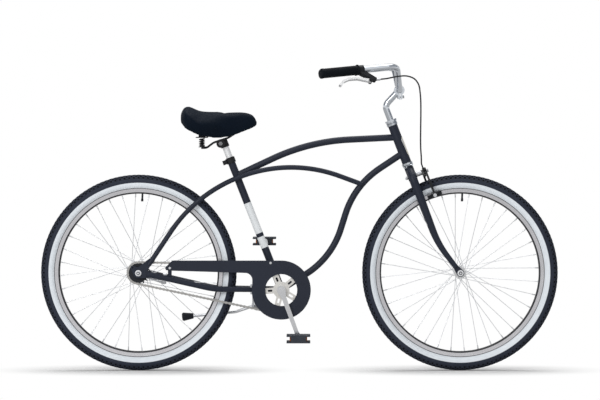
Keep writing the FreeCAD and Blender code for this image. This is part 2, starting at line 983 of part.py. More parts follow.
def chainring():
    start_angle = top_normal + (run_pitches - math.ceil(run_pitches)) * ring_step
    plate = toothed(bracket, ring_pitch_radius, chainring_teeth, start_angle)
    low = right * (chain_line - sprocket_thickness / 2)
    deep = right * sprocket_thickness
    band = ring_pitch_radius + tooth_height - ring_band
    window = rod(bracket + low, bracket + low + deep, band)
    arms = [rod(bracket + low, bracket + low + deep, spider_hub_radius)]
    slots = []
    for i in range(spider_arms):
        aim = sloped(spider_phase + i * 360 / spider_arms)
        half = spider_arm_width / 2
        tip = bracket + aim * (band + ring_band * 0.4 - half)
        place = side_plate(-chain_line + sprocket_thickness / 2)
        arms.append(strap(place, deep, (bracket.x, bracket.z), half, (tip.x, tip.z), half))
        near = bracket + aim * (spider_hub_radius + spider_slot_width / 2 + 2)
        far = near + aim * (spider_slot_length - spider_slot_width)
        slot_half = spider_slot_width / 2
        slots.append(strap(place, deep, (near.x, near.z), slot_half, (far.x, far.z), slot_half))
    whole = merge([plate.cut(window)] + arms)
    bore = rod(bracket + low, bracket + low + deep, crank_root_radius + seat_gap)
    return whole.cut(slots + [bore])


# Cranks and pedals


def crank_end(side):
    # Centre of the pedal eye in the side view
    angle = crank_angle if side < 0 else crank_angle + 180
    return bracket + sloped(angle) * crank_length


def crank_arm(side):
    out = left * side
    end = crank_end(side)
    aim = unit(end - bracket)
    place = side_plate(side * crank_offset)
    depth = out * crank_thickness
    near = bracket + aim * (crank_root_radius + 8)
    far = end - aim * (crank_eye_radius + 6)
    inner = chain_line - sprocket_thickness / 2 if side < 0 else crank_offset - 6
    pieces = [
        rod(bracket + out * inner, bracket + out * (crank_offset + crank_thickness), crank_root_radius),
        strap(place, depth, (bracket.x, bracket.z), crank_root_radius, (near.x, near.z), crank_arm_radius),
        strap(place, depth, (near.x, near.z), crank_arm_radius, (far.x, far.z), crank_arm_radius * 0.85),
        strap(place, depth, (far.x, far.z), crank_arm_radius * 0.85, (end.x, end.z), crank_eye_radius),
    ]
    half = taper_side / 2 + seat_gap
    turn = FreeCAD.Rotation(right, crank_angle)
    square = box((-half, half), (-crank_offset * 2, crank_offset * 2), (-half, half))
    square.Placement = FreeCAD.Placement(bracket, turn)
    eye = rod(end, end + out * (crank_offset + crank_thickness), pedal_spindle_radius + seat_gap)
    return merge(pieces).cut([square, eye])


def crank_bolt(side):
    out = left * side
    face = bracket + out * (crank_offset + crank_thickness)
    washer = rod(face, face + out * 2, crank_bolt_radius)
    head = hex_prism(face + out * 2, face + out * 6, crank_bolt_radius * 1.5)
    return merge([washer, head])


def crank_spindle():
    end = crank_offset + crank_thickness - 1.0
    shoulder = shell_width / 2 + cup_flange + 2
    round_part = rod(bracket + right * shoulder, bracket + left * shoulder, spindle_radius)
    half = taper_side / 2
    square = box((-half, half), (-end, end), (-half, half))
    square.Placement = FreeCAD.Placement(bracket, FreeCAD.Rotation(right, crank_angle))
    return merge([round_part, square])


def pedal_start():
    return crank_offset + crank_thickness + pedal_collar


def pedal_spindle(side):
    out = left * side
    end = crank_end(side)
    face = crank_offset + crank_thickness
    reach = pedal_start() + pedal_width - 6
    shaft = rod(end + out * (crank_offset + 1), end + out * reach, pedal_spindle_radius)
    flange = hex_prism(end + out * face, end + out * (face + pedal_collar / 2), 15.0)
    return merge([shaft, flange])


def pedal(side):
    out = left * side
    end = crank_end(side)
    start = pedal_start()
    low, high = sorted((side * start, side * (start + pedal_width)))
    half_length = pedal_length / 2
    half_height = pedal_height / 2
    pieces = [rod(end + out * start, end + out * (start + pedal_width), pedal_barrel_radius)]
    for face in (1, -1):
        z = sorted((end.z + face * half_height, end.z + face * (half_height - pedal_tread)))
        slab = box((end.x - half_length, end.x + half_length), (low, high), z)
        edges = [e for e in slab.Edges if e.tangentAt(e.FirstParameter).isParallel(left, 0.01)]
        pieces.append(slab.makeFillet(pedal_tread / 3, edges))
    for face in (1, -1):
        x = sorted((end.x + face * pedal_web_reach, end.x + face * (pedal_web_reach - pedal_web)))
        pieces.append(box(x, (low, high), (end.z - half_height + 1, end.z + half_height - 1)))
    for wall in (low, high - pedal_web):
        pieces.append(box(
            (end.x - pedal_web_reach, end.x + pedal_web_reach),
            (wall, wall + pedal_web),
            (end.z - half_height + 1, end.z + half_height - 1),
        ))
    body = merge(pieces)
    bore = rod(end + out * start, end + out * (start + pedal_width - 4), pedal_spindle_radius + shaft_gap)
    made = [body.cut(bore)]
    middle = (low + high) / 2
    for face in (1, -1):
        x = sorted((end.x + face * pedal_web_reach, end.x + face * (pedal_web_reach + reflector_thickness)))
        made.append(box(
            x,
            (middle - reflector_length / 2, middle + reflector_length / 2),
            (end.z - reflector_height / 2, end.z + reflector_height / 2),
        ))
    return made


# Frame: each tube is cut to the outside of the tube that it is welded to
head_low = steer(head_tube_bottom)
head_high = steer(head_tube_bottom + head_tube_length)
head_solid = rod(head_low, head_high, head_tube_diameter / 2)
shell_half = left * (shell_width / 2)
shell_solid = rod(bracket - shell_half, bracket + shell_half, shell_radius)
seat_solid = rod(bracket, seat(seat_tube_length), seat_tube_diameter / 2)


def meet(a, a_aim, b, b_aim):
    # Crossing of two lines in the side view
    cross = a_aim.x * b_aim.z - a_aim.z * b_aim.x
    gap = b - a
    return a + a_aim * ((gap.x * b_aim.z - gap.z * b_aim.x) / cross)


def top_tube_points():
    front = steer(head_tube_bottom + top_tube_head_height)
    back = seat(top_tube_seat_height)
    middle = meet(front, sloped(180 + top_tube_front_slope), back, sloped(top_tube_rear_slope))
    return [front, middle, back]


def down_tube_points():
    front = steer(head_tube_bottom + down_tube_head_height)
    upper = front + sloped(180 + down_tube_head_slope) * down_tube_head_run
    lower = bracket + sloped(down_tube_foot_slope) * down_tube_foot_run
    return [front, upper, lower, bracket]


def bar_joint():
    # Where the cantilever bars meet the down tube, on its upper bend
    front, upper, lower, foot = down_tube_points()
    start, middle, end = corner(front, upper, lower, down_tube_head_bend)
    first = start - upper
    last = end - upper
    inward = unit(unit(first) + unit(last))
    half = first.getAngle(last) / 2
    centre = upper + inward * (down_tube_head_bend / math.sin(half))
    begin = math.atan2(start.z - centre.z, start.x - centre.x)
    finish = math.atan2(end.z - centre.z, end.x - centre.x)
    if finish - begin > math.pi:
        finish -= 2 * math.pi
    if begin - finish > math.pi:
        finish += 2 * math.pi
    return centre + radial(begin + (finish - begin) * bar_joint_share) * down_tube_head_bend


def bar_points():
    # Left bar: seat stay, past the seat tube, on to the down tube
    dropout = rear_dropout_spread / 2 + dropout_thickness / 2
    foot = rear_axle + Vector(bar_foot_forward, dropout, bar_foot_height)
    knee = foot + sloped(bar_foot_slope) * (tyre_radius - bar_knee_inside)
    knee.y = bar_tyre_spread
    beside = (seat_tube_diameter + bar_diameter) / 2 - 1.0
    waist = seat(bar_seat_height, bar_seat_forward, beside)
    front = bar_joint()
    rise = front + sloped(180 - bar_front_slope) * bar_front_run
    rise.y = bar_middle_spread
    front.y = bar_front_spread
    return [foot, knee, waist, rise, front]


def stay_points():
    # Left chain stay from the dropout to the bottom bracket
    foot = rear_axle + Vector(
        stay_foot_forward, rear_dropout_spread / 2 + dropout_thickness / 2 + 0.5, -stay_foot_drop)
    tyre_side = bracket + Vector(-stay_tyre_back, stay_tyre_spread, stay_tyre_rise)
    front = bracket + Vector(-stay_front_back, stay_front_spread, stay_tyre_rise / 2)
    root = bracket + left * stay_root_spread
    return [foot, tyre_side, front, root]


def dropout_plate():
    # Left dropout: axle eye, tabs to both stays and an eyelet behind
    inside = rear_dropout_spread / 2
    place = side_plate(inside)
    depth = left * dropout_thickness
    axle = (rear_axle.x, rear_axle.z)
    bar_foot, bar_knee = bar_points()[:2]
    bar_tab = bar_foot + unit(bar_knee - bar_foot) * 14
    stay_foot, stay_next = stay_points()[:2]
    stay_tab = stay_foot + unit(stay_next - stay_foot) * 14
    ear = (rear_axle.x - eyelet_back, rear_axle.z + eyelet_back)
    pieces = [
        strap(place, depth, axle, dropout_axle_radius, (bar_tab.x, bar_tab.z), dropout_tab_radius),
        strap(place, depth, axle, dropout_axle_radius, (stay_tab.x, stay_tab.z), dropout_tab_radius),
        strap(place, depth, axle, dropout_axle_radius, ear, eyelet_radius),
    ]
    hole = rod(rear_axle, rear_axle + left * rear_dropout_spread, rear_axle_diameter / 2 + shaft_gap)
    eyelet = rod(Vector(ear[0], 0, ear[1]), Vector(ear[0], rear_dropout_spread, ear[1]), eyelet_hole / 2)
    return merge(pieces).cut([hole, eyelet])


def make_frame():
    bore = head_tube_diameter / 2 - head_tube_wall
    keep("head_tube", head_solid.cut(rod(head_low, head_high, bore)))
    shell_bore_radius = shell_radius - shell_wall
    keep("bottom_bracket_shell",
         shell_solid.cut(rod(bracket - shell_half, bracket + shell_half, shell_bore_radius)))
    seat_bore = seat_tube_diameter / 2 - seat_tube_wall
    seat_tube = seat_solid.cut([rod(bracket, seat(seat_tube_length), seat_bore), shell_solid])
    keep("seat_tube", largest(seat_tube))
    top_outer, top = hollow(top_tube_points(), [top_tube_bend], main_tube_diameter, main_tube_wall)
    keep("top_tube", largest(top.cut([head_solid, seat_solid])))
    bends = [down_tube_head_bend, down_tube_foot_bend]
    down_outer, down = hollow(down_tube_points(), bends, main_tube_diameter, main_tube_wall)
    keep("down_tube", largest(down.cut([head_solid, shell_solid])))
    plate = dropout_plate()
    bar_outer, bar = hollow(bar_points(), [bar_bend] * 3, bar_diameter, bar_wall)
    bar = largest(bar.cut([seat_solid, down_outer, top_outer, plate]))
    foot, knee, waist = bar_points()[:3]
    beside = knee + (waist - knee) * bar_bridge_share
    bridge = rod(Vector(beside.x, -beside.y, beside.z), beside, bridge_diameter / 2)
    bar_bridge = bridge.cut([bar_outer, mirror(bar_outer)])
    keep("cantilever_bars", bar, mirror(bar), largest(bar_bridge))
    stay_outer, stay = hollow(stay_points(), [stay_bend] * 2, stay_diameter, stay_wall)
    stay = largest(stay.cut([shell_solid, seat_solid, plate]))
    along = stay_points()[2] + Vector(stay_front_back - stay_bridge_back, stay_tyre_rise, 0)
    bridge = rod(Vector(along.x, -along.y, along.z), along, bridge_diameter / 2)
    stay_bridge = bridge.cut([stay_outer, mirror(stay_outer)])
    keep("chain_stays", stay, mirror(stay), largest(stay_bridge))
    keep("rear_dropouts", plate, mirror(plate))
    return stay_outer


def head_badge():
    # Blank curved plate on the front of the head tube
    middle = head_tube_bottom + head_tube_length / 2 - 14
    wide = badge_width / 2
    low = middle - badge_height / 2 + wide * 0.7
    high = middle + badge_height / 2 - wide
    depth = steer_ahead * head_tube_diameter
    shape = strap(lambda y, s: steer(s, 0, y), depth, (0, high), wide, (0, low), wide * 0.7)
    inner = head_tube_diameter / 2 + seat_gap
    shell = sleeve(head_low, head_high, inner + badge_thickness, inner)
    return largest(shell.common(shape))


def seat_clamp():
    top = seat_tube_length - 1.0
    bottom = top - collar_height
    inner = seat_tube_diameter / 2 + seat_gap
    outer = inner + collar_wall
    ear_end = outer + collar_ear
    ring = rod(seat(bottom), seat(top), outer)
    turn = FreeCAD.Rotation(up, seat_up)
    ear = box((-ear_end, -outer + 2), (-collar_ear_width / 2, collar_ear_width / 2), (2, collar_height - 2))
    ear.Placement = FreeCAD.Placement(seat(bottom), turn)
    slot = box((-ear_end - 1, -inner + 1), (-collar_slot / 2, collar_slot / 2), (-1, collar_height + 1))
    slot.Placement = ear.Placement
    middle = seat((bottom + top) / 2, -outer - collar_ear / 2)
    reach = collar_ear_width / 2
    hole = rod(middle + right * 2 * reach, middle + left * 2 * reach, collar_bolt_radius + seat_gap)
    collar = merge([ring, ear]).cut([rod(seat(bottom), seat(top), inner), slot, hole])
    shank = rod(middle + right * (reach + 4), middle + left * (reach + 5), collar_bolt_radius)
    head = rod(middle + right * (reach + 4), middle + right * reach, collar_nut_radius)
    nut = hex_prism(middle + left * reach, middle + left * (reach + 4.5), collar_nut_radius * 1.8)
    nut = nut.cut(rod(middle, middle + left * 4 * reach, collar_bolt_radius + seat_gap))
    return [largest(collar), merge([shank, head]), nut]


def chain_guard():
    place = side_plate(-guard_offset)
    depth = right * guard_thickness
    top = bracket.z + guard_radius
    rear = bracket.x - guard_arm_length
    notch = bracket.x - guard_notch
    low_rear = top - guard_arm_rear_depth
    low_front = top - guard_arm_front_depth
    turn = guard_fillet * math.sqrt(0.5)
    arm = outline(place, [
        (bracket.x, top),
        (rear, top),
        (rear - guard_arm_nose, low_rear + 10),
        (rear - guard_arm_nose + 3, low_rear + 2),
        (rear, low_rear),
        (notch - guard_fillet, low_front),
        ((notch - guard_fillet + turn, low_front - guard_fillet + turn), (notch, low_front - guard_fillet)),
        (notch, bracket.z),
        (bracket.x, bracket.z),
    ])
    outer_face = guard_offset + guard_thickness
    disc = rod(bracket + right * guard_offset, bracket + right * outer_face, guard_radius)
    plate = merge([disc, Part.Face(arm).extrude(depth)])
    window = rod(bracket, bracket + right * (guard_offset + guard_thickness), guard_opening)
    return plate.cut([window] + [screw for screw in guard_screw_holes()])


def guard_strut_spot():
    # Screw through the rear of the guard, above the chain stay
    return Vector(bracket.x - guard_arm_length - 8, 0, bracket.z + guard_radius - guard_arm_rear_depth + 9)


def guard_tab_spot():
    # Screw through the top of the guard, beside the seat tube
    height = guard_radius - guard_tab_width / 2 - 1
    return seat(height / math.sin(math.radians(seat_angle)))


def guard_screw_holes():
    holes = []
    for spot in (guard_strut_spot(), guard_tab_spot()):
        hole_radius = guard_screw_radius / 2 + seat_gap
        holes.append(rod(spot, spot + right * (guard_offset + 2 * guard_thickness), hole_radius))
    return holes


def guard_brackets(stay_outer):
    # Strut down to the right chain stay, tab across to the seat tube, and their screws
    inner = guard_offset - 2.5
    half = guard_strut_width / 2
    spot = guard_strut_spot()
    foot, next_point = stay_points()[:2]
    share = (spot.x - foot.x) / (next_point.x - foot.x)
    beside = foot + (next_point - foot) * share
    strut = box((spot.x - half, spot.x + half), (-guard_offset, -inner), (beside.z, spot.z + half))
    strut = strut.cut(mirror(stay_outer))
    strut = max(strut.Solids, key=lambda solid: solid.BoundBox.ZMax)
    tab_spot = guard_tab_spot()
    tab_half = guard_tab_width / 2
    tab = merge([
        box((tab_spot.x - tab_half, tab_spot.x + tab_half), (-guard_offset, -inner),
            (tab_spot.z - tab_half, tab_spot.z + tab_half)),
        box((tab_spot.x - tab_half, tab_spot.x + tab_half), (-inner, 0),
            (tab_spot.z + tab_half - 3, tab_spot.z + tab_half)),
    ])
    tab = largest(tab.cut(seat_solid))
    made = []
    screws = []
    for piece, centre in ((strut, spot), (tab, tab_spot)):
        hole = rod(centre, centre + right * guard_offset * 2, guard_screw_radius / 2 + seat_gap)
        made.append(piece.cut(hole))
        shank_end = centre + right * (guard_offset + guard_thickness)
        shank = rod(centre + right * inner, shank_end, guard_screw_radius / 2)
        face = centre + right * (guard_offset + guard_thickness)
        head = rod(face, face + right * 2, guard_screw_radius)
        screws.append(merge([shank, head]))
    return made + screws


# Headset, fork and front brake
headset_top = head_tube_bottom + head_tube_length
crown_top = head_tube_bottom - cup_stack - crown_race_stack


def headset_cup(start, axis):
    bore = head_tube_diameter / 2 - head_tube_wall - seat_gap
    inner = steerer_radius + 2 * running_gap
    race = cup_flange_radius - cup_wall
    return turned([
        (inner, -cup_depth),
        (bore, -cup_depth),
        (bore, 0),
        (cup_flange_radius, 0),
        (cup_flange_radius, cup_stack),
        (race, cup_stack),
        (race, cup_stack - headset_ball - 1.0),
        (inner, cup_stack - headset_ball - 1.0),
    ], start, axis)


def headset_cage(start, axis):
    ring = (cup_flange_radius - cup_wall + steerer_radius + running_gap) / 2
    return torus(start + axis * (cup_stack - headset_ball / 2 - running_gap), axis, ring, headset_ball)


def headset_nuts():
    # Crown race below; cone, washer and locknut above
    bore = steerer_radius + seat_gap
    low = steer(head_tube_bottom)
    start = cup_stack + running_gap / 2
    race = turned([
        (bore, start),
        (cup_flange_radius - cup_wall - 1, start),
        (cup_flange_radius, start + 3),
        (crown_radius, cup_stack + crown_race_stack),
        (bore, cup_stack + crown_race_stack),
    ], low, steer_up * -1)
    high = steer(headset_top)
    cone_end = start + headset_cone_stack
    cone = turned([
        (bore, start),
        (cup_flange_radius - cup_wall - 1, start),
        (cup_flange_radius, start + 1.5),
        (cup_flange_radius, cone_end),
        (bore, cone_end),
    ], high, steer_up)
    washer_end = cone_end + headset_washer
    washer = sleeve(high + steer_up * cone_end, high + steer_up * washer_end, cup_flange_radius - 1.5, bore)
    nut_end = washer_end + headset_nut_stack
    nut = hex_prism(high + steer_up * washer_end, high + steer_up * nut_end, headset_nut_width)
    nut = nut.cut(rod(high + steer_up * washer_end, high + steer_up * nut_end, bore))
    return [race, cone, washer, nut], headset_top + nut_end


def fork_steerer(top):
    crown_low = crown_top - crown_height
    solid = turned([
        (0, crown_low),
        (crown_radius, crown_low),
        (crown_radius, crown_top),
        (steerer_radius, crown_top),
        (steerer_radius, top),
        (0, top),
    ], steer_foot, steer_up)
    bore = rod(steer(crown_top + 12), steer(top + 1), steerer_bore)
    hole = rod(steer(brake_bolt_height, -crown_radius - 2), steer(brake_bolt_height, crown_radius + 2),
               brake_bolt_radius + seat_gap)
    return solid.cut([bore, hole])


def fork_blade():
    # Left blade: curved in under the crown, tapered and swept forward to the axle
    spread = blade_spread / 2
    foot_side = front_dropout_spread / 2 + dropout_thickness / 2
    crown = steer(crown_top - blade_top_radius, 0, 0)
    shoulder = steer(crown_top - blade_shoulder_drop, 0, spread)
    bend = steer(blade_bend_height, 0, (spread + foot_side) / 2)
    foot = steer(blade_foot_height, fork_rake * (1 - blade_foot_height / blade_bend_height), foot_side)
    shoulder_height = crown_top - blade_shoulder_drop
    share = blade_taper_drop / (shoulder_height - blade_bend_height)
    waist = shoulder + (bend - shoulder) * share

    def blade(shrink):
        upper = pipe([crown, shoulder, waist], [blade_shoulder], blade_top_radius - shrink)
        spine = route([waist, bend, foot], [blade_bend])
        rings = [
            Part.Wire(Part.makeCircle(blade_top_radius - shrink, waist, bend - waist)),
            Part.Wire(Part.makeCircle(blade_foot_radius - shrink, foot, foot - bend)),
        ]
        return upper.fuse(spine.makePipeShell(rings, True, False))

    tube = blade(0).cut(blade(blade_wall))
    crown_solid = rod(steer(crown_top - crown_height), steer(crown_top), crown_radius)
    tube = largest(tube.cut(crown_solid).removeSplitter())
    place = side_plate(front_dropout_spread / 2)
    plug = foot + unit(bend - foot) * 10
    end = strap(place, left * dropout_thickness, (front_axle.x, front_axle.z), fork_end_radius,
                (plug.x, plug.z), blade_foot_radius - 2)
    hole = rod(front_axle, front_axle + left * front_dropout_spread, front_axle_diameter / 2 + shaft_gap)
    return merge([tube, end]).cut(hole)


def caliper_plane(ahead):
    # Outlines of the caliper: across the bicycle and up the steering axis
    return lambda y, s: steer(s, ahead, y)


caliper_rear = brake_arm_start
caliper_front = brake_arm_start + brake_arm_thickness + brake_arm_gap
caliper_end = caliper_front + brake_arm_thickness
wire_ahead = caliper_front - brake_arm_gap / 2
stop_low = brake_bolt_height + stop_height - stop_length / 2
stop_high = stop_low + stop_length


def caliper_arm(side, ahead):
    place = caliper_plane(ahead)
    depth = steer_ahead * brake_arm_thickness
    root = (0, brake_bolt_height)
    shoulder = (side * brake_shoulder_spread, brake_bolt_height - brake_shoulder_drop)
    elbow = (side * brake_elbow_spread, brake_bolt_height - brake_elbow_drop)
    foot = (side * brake_foot_spread, brake_bolt_height - brake_reach)
    pieces = [
        strap(place, depth, root, brake_arm_root, shoulder, brake_shoulder_radius),
        strap(place, depth, shoulder, brake_shoulder_radius, elbow, brake_elbow_radius),
        strap(place, depth, elbow, brake_elbow_radius, foot, brake_foot_radius),
    ]
    middle = ahead + brake_arm_thickness / 2
    holes = [rod(steer(brake_bolt_height, ahead - 1), steer(brake_bolt_height, caliper_end + 1),
                 brake_bolt_radius + shaft_gap)]
    holes.append(rod(steer(foot[1], middle, 0), steer(foot[1], middle, side * 2 * brake_foot_spread),
                     pad_stud_radius + seat_gap))
    nut_seat = side * (brake_foot_spread + brake_foot_radius)
    holes.append(rod(steer(foot[1], middle, nut_seat), steer(foot[1], middle, 2 * nut_seat),
                     pad_nut_radius + 0.5))
    if side < 0:
        # Housing stop with its adjuster
        lobe = (-stop_spread, brake_bolt_height + stop_height)
        pieces.append(strap(place, depth, root, brake_arm_root, lobe, arm_lobe_radius))
        low = steer(stop_low, wire_ahead, -stop_spread)
        high = steer(stop_high, wire_ahead, -stop_spread)
        pieces.append(rod(low, high, stop_radius))
        holes.append(rod(low, high, wire_radius + wire_play))
        return [merge(pieces).cut(holes)]
    # Wire anchor with the last of the inner wire
    anchor_height = brake_bolt_height - anchor_drop
    pieces.append(strap(place, depth, root, brake_arm_root, (-stop_spread, anchor_height), arm_lobe_radius))
    bolt_start = steer(anchor_height, ahead + 1, -stop_spread)
    bolt_end = steer(anchor_height, caliper_front - running_gap, -stop_spread)
    bolt = rod(bolt_start, bolt_end, anchor_radius)
    holes.append(rod(bolt_start, steer(anchor_height, caliper_front, -stop_spread), anchor_radius + seat_gap))
    wire_low = steer(anchor_height, wire_ahead, -stop_spread)
    wire = rod(wire_low, steer(stop_high - wire_slack, wire_ahead, -stop_spread), wire_radius)
    return [merge(pieces).cut(holes), merge([bolt, wire])]


def brake_pad(side, ahead):
    # Rubber block, backing plate with stud, and the nut outside the arm
    middle = ahead + brake_arm_thickness / 2
    height = brake_bolt_height - brake_reach
    face = rim_width / 2 + pad_gap
    back = face + pad_thickness
    place = caliper_plane(middle - pad_length / 2)
    half = pad_height / 2

    def slab(start, end, rise):
        low, high = side * start, side * end
        under = height - rise
        over = height + rise
        wire = outline(place, [(low, under), (high, under), (high, over), (low, over)])
        return Part.Face(wire).extrude(steer_ahead * pad_length)

    arm_out = brake_foot_spread + brake_foot_radius
    stud_end = steer(height, middle, side * (arm_out + pad_nut_height - 1))
    stud = rod(steer(height, middle, side * back), stud_end, pad_stud_radius)
    carrier = merge([slab(back, back + pad_plate, half + 1), stud])
    nut_low = steer(height, middle, side * arm_out)
    nut_high = steer(height, middle, side * (arm_out + pad_nut_height))
    thread_end = steer(height, middle, side * (arm_out + pad_nut_height - 0.9))
    nut = rod(nut_low, nut_high, pad_nut_radius).cut(rod(nut_low, thread_end, pad_stud_radius + seat_gap))
    return [slab(face, back, half), carrier, nut]


def caliper_bolt():
    rear = -crown_radius - brake_nut_height
    front = caliper_end + running_gap + brake_nut_height
    height = brake_bolt_height
    shank = rod(steer(height, rear - 3), steer(height, front - 1), brake_bolt_radius)

    def washer(start, end, radius):
        a = steer(height, start)
        b = steer(height, end)
        return rod(a, b, radius).cut(rod(a, b, brake_bolt_radius + seat_gap))

    nut = hex_prism(steer(height, rear), steer(height, -crown_radius), brake_nut_width)
    nut = nut.cut(rod(steer(height, rear), steer(height, 0), brake_bolt_radius + seat_gap))
    saddle_washer = washer(crown_radius, caliper_rear - running_gap, brake_spacer_radius)
    middle = washer(caliper_rear + brake_arm_thickness + running_gap / 2, caliper_front - running_gap / 2,
                    brake_arm_root)
    cap = hex_prism(steer(height, caliper_end + running_gap), steer(height, front), brake_nut_width)
    cap = cap.cut(rod(steer(height, caliper_end), steer(height, front - 0.9), brake_bolt_radius + seat_gap))
    return [shank, nut, saddle_washer, middle, cap]


# Stem, handlebar, grips and brake lever
stem_corner = steer(headset_top + stem_height)
bar_clamp = stem_corner + sloped(stem_rise) * stem_reach


def quill_stem():
    foot = steer(headset_top - quill_depth)
    body = pipe([foot, stem_corner, bar_clamp], [stem_bend], quill_radius)
    half = stem_clamp_width / 2
    ring = rod(bar_clamp + right * half, bar_clamp + left * half, stem_clamp_radius)
    ear_aim = sloped(stem_ear_angle)
    ear_tip = bar_clamp + ear_aim * stem_ear_reach
    ear_root = (bar_clamp.x, bar_clamp.z)
    ear = strap(side_plate(-stem_ear_width / 2), left * stem_ear_width, ear_root, stem_ear_radius,
                (ear_tip.x, ear_tip.z), stem_ear_radius)
    slot_end = bar_clamp + ear_aim * (stem_ear_reach + 2 * stem_ear_radius)
    slot = strap(side_plate(-half - 1), left * (stem_clamp_width + 2), ear_root, stem_slot / 2,
                 (slot_end.x, slot_end.z), stem_slot / 2)
    across = ear_aim.cross(left)
    hole = rod(ear_tip - across * 2 * stem_ear_radius, ear_tip + across * 2 * stem_ear_radius,
               stem_bolt_radius + seat_gap)
    bore = rod(bar_clamp + right * half, bar_clamp + left * half, bar_tube_diameter / 2 + seat_gap)
    drill = rod(foot, steer(headset_top + stem_height / 2), expander_radius + 1)
    return largest(merge([body, ring, ear]).cut([bore, slot, hole, drill]))


def stem_bolts():
    ear_aim = sloped(stem_ear_angle)
    ear_tip = bar_clamp + ear_aim * stem_ear_reach
    across = ear_aim.cross(left)
    if across.x < 0:
        across = across * -1
    reach = stem_ear_radius
    shank = rod(ear_tip - across * (reach + 3), ear_tip + across * reach, stem_bolt_radius)
    head = hex_prism(ear_tip + across * reach, ear_tip + across * (reach + 5), 10.0)
    foot = headset_top - quill_depth
    wedge = rod(steer(foot - wedge_length), steer(foot - seat_gap), quill_radius)
    expander = rod(steer(foot - wedge_length + 2), steer(headset_top + stem_height / 2 - 1), expander_radius)
    wedge_bore = rod(steer(foot - wedge_length + 2), steer(foot), expander_radius + seat_gap)
    return [merge([shank, head]), wedge.cut(wedge_bore), expander]


bar_shoulder = bar_clamp + Vector(-bar_setback, -bar_shoulder_spread, bar_rise)
bar_end = bar_clamp + Vector(-bar_end_back, -bar_end_spread, bar_rise - bar_end_drop)
grip_aim = unit(bar_end - bar_shoulder)


def handlebar():
    # Right half from the clamp out to the grip's end, with the left half mirrored
    end = bar_end - grip_aim * (grip_cap + seat_gap)
    flat = bar_clamp + right * (stem_clamp_width / 2 + bar_flat)

    def flip(point):
        return Vector(point.x, -point.y, point.z)

    points = [end, bar_shoulder, flat, flip(flat), flip(bar_shoulder), flip(end)]
    bends = [bar_upper_bend, bar_lower_bend, bar_lower_bend, bar_upper_bend]
    return hollow(points, bends, bar_tube_diameter, bar_tube_wall)[1]


def grip():
    inner = bar_tube_diameter / 2 + seat_gap
    return turned([
        (0, 0),
        (grip_radius - 3, 0),
        ((grip_radius - 0.9, 0.9), (grip_radius, 3)),
        (grip_radius - 0.6, grip_length * 0.5),
        (grip_radius, grip_length - grip_flange_length - 2),
        (grip_flange_radius, grip_length - grip_flange_length),
        (grip_flange_radius, grip_length),
        (inner, grip_length),
        (inner, grip_cap),
        (0, grip_cap),
    ], bar_end, grip_aim * -1)


lever_ahead = grip_aim * -1
lever_down = unit(up * -1 - lever_ahead * (up * -1).dot(lever_ahead))
lever_side = unit(lever_ahead.cross(lever_down))
lever_out = lever_side if lever_side.y < 0 else lever_side * -1
lever_below = lever_down * math.cos(math.radians(lever_lean)) + lever_out * math.sin(math.radians(lever_lean))
lever_axis = unit(lever_ahead.cross(lever_below))
perch_centre = bar_end + lever_ahead * (grip_length + perch_width / 2 + running_gap)
lever_pivot = perch_centre + lever_ahead * lever_pivot_ahead + lever_below * lever_pivot_below


def lever_plane(across):
    return lambda a, q: perch_centre + lever_ahead * a + lever_below * q + lever_axis * across


def brake_perch():
    # Clamp on the bar, bent arm that is forked for the lever, pivot pin and cable adjuster
    half = perch_width / 2
    inner = bar_tube_diameter / 2 + seat_gap
    ring = rod(perch_centre - lever_ahead * half, perch_centre + lever_ahead * half, perch_radius)
    wide = lever_width / 2 + running_gap + lever_cheek
    low = lever_plane(-wide)
    full = lever_axis * (2 * wide)
    pivot = (lever_pivot_ahead, lever_pivot_below)
    elbow = (lever_pivot_ahead + perch_arm_ahead, lever_pivot_below - perch_arm_above)
    nose = (barrel_start + perch_nose_cover, barrel_below)
    pieces = [
        ring,
        strap(low, full, (0, perch_radius - 3), half, elbow, perch_arm_radius),
        strap(low, full, elbow, perch_arm_radius, nose, perch_arm_radius),
    ]
    for start in (-wide, wide - lever_cheek):
        pieces.append(strap(lever_plane(start), lever_axis * lever_cheek, elbow, perch_arm_radius, pivot,
                            lever_root_radius + 1.5))
    barrel_low = lever_plane(0)(barrel_start, barrel_below)
    barrel_high = lever_plane(0)(barrel_start + barrel_length, barrel_below)
    pieces.append(rod(barrel_low, barrel_high, barrel_radius))
    hole_start = perch_centre - lever_ahead * (half + 1)
    hole = rod(hole_start, perch_centre + lever_ahead * (half + perch_radius), inner)
    reach = lever_axis * (wide + 1.5)
    pin = rod(lever_pivot - reach, lever_pivot + reach, lever_pin_radius)
    pin_hole = rod(lever_pivot - reach, lever_pivot + reach, lever_pin_radius + seat_gap)
    return [merge(pieces).cut([hole, pin_hole]), pin]


def brake_lever():
    # Blade that bows towards the grip and turns out again at its tip
    low = lever_plane(-lever_width / 2)
    depth = lever_axis * lever_width
    a, q = lever_pivot_ahead, lever_pivot_below
    root = (a, q)
    first = (a - lever_length * 0.4, q - lever_belly * 0.94)
    second = (a - lever_length * 0.68, q - lever_belly)
    third = (a - lever_length * 0.88, q - lever_belly * 0.48)
    tip = (a - lever_length, q + lever_splay)
    body = merge([
        strap(low, depth, root, lever_root_radius, first, lever_blade_radius),
        strap(low, depth, first, lever_blade_radius, second, lever_blade_radius),
        strap(low, depth, second, lever_blade_radius, third, lever_blade_radius),
        strap(low, depth, third, lever_blade_radius, tip, lever_tip_radius),
    ])
    across = lever_axis * lever_width
    return body.cut(rod(lever_pivot - across, lever_pivot + across, lever_pin_radius + shaft_gap))


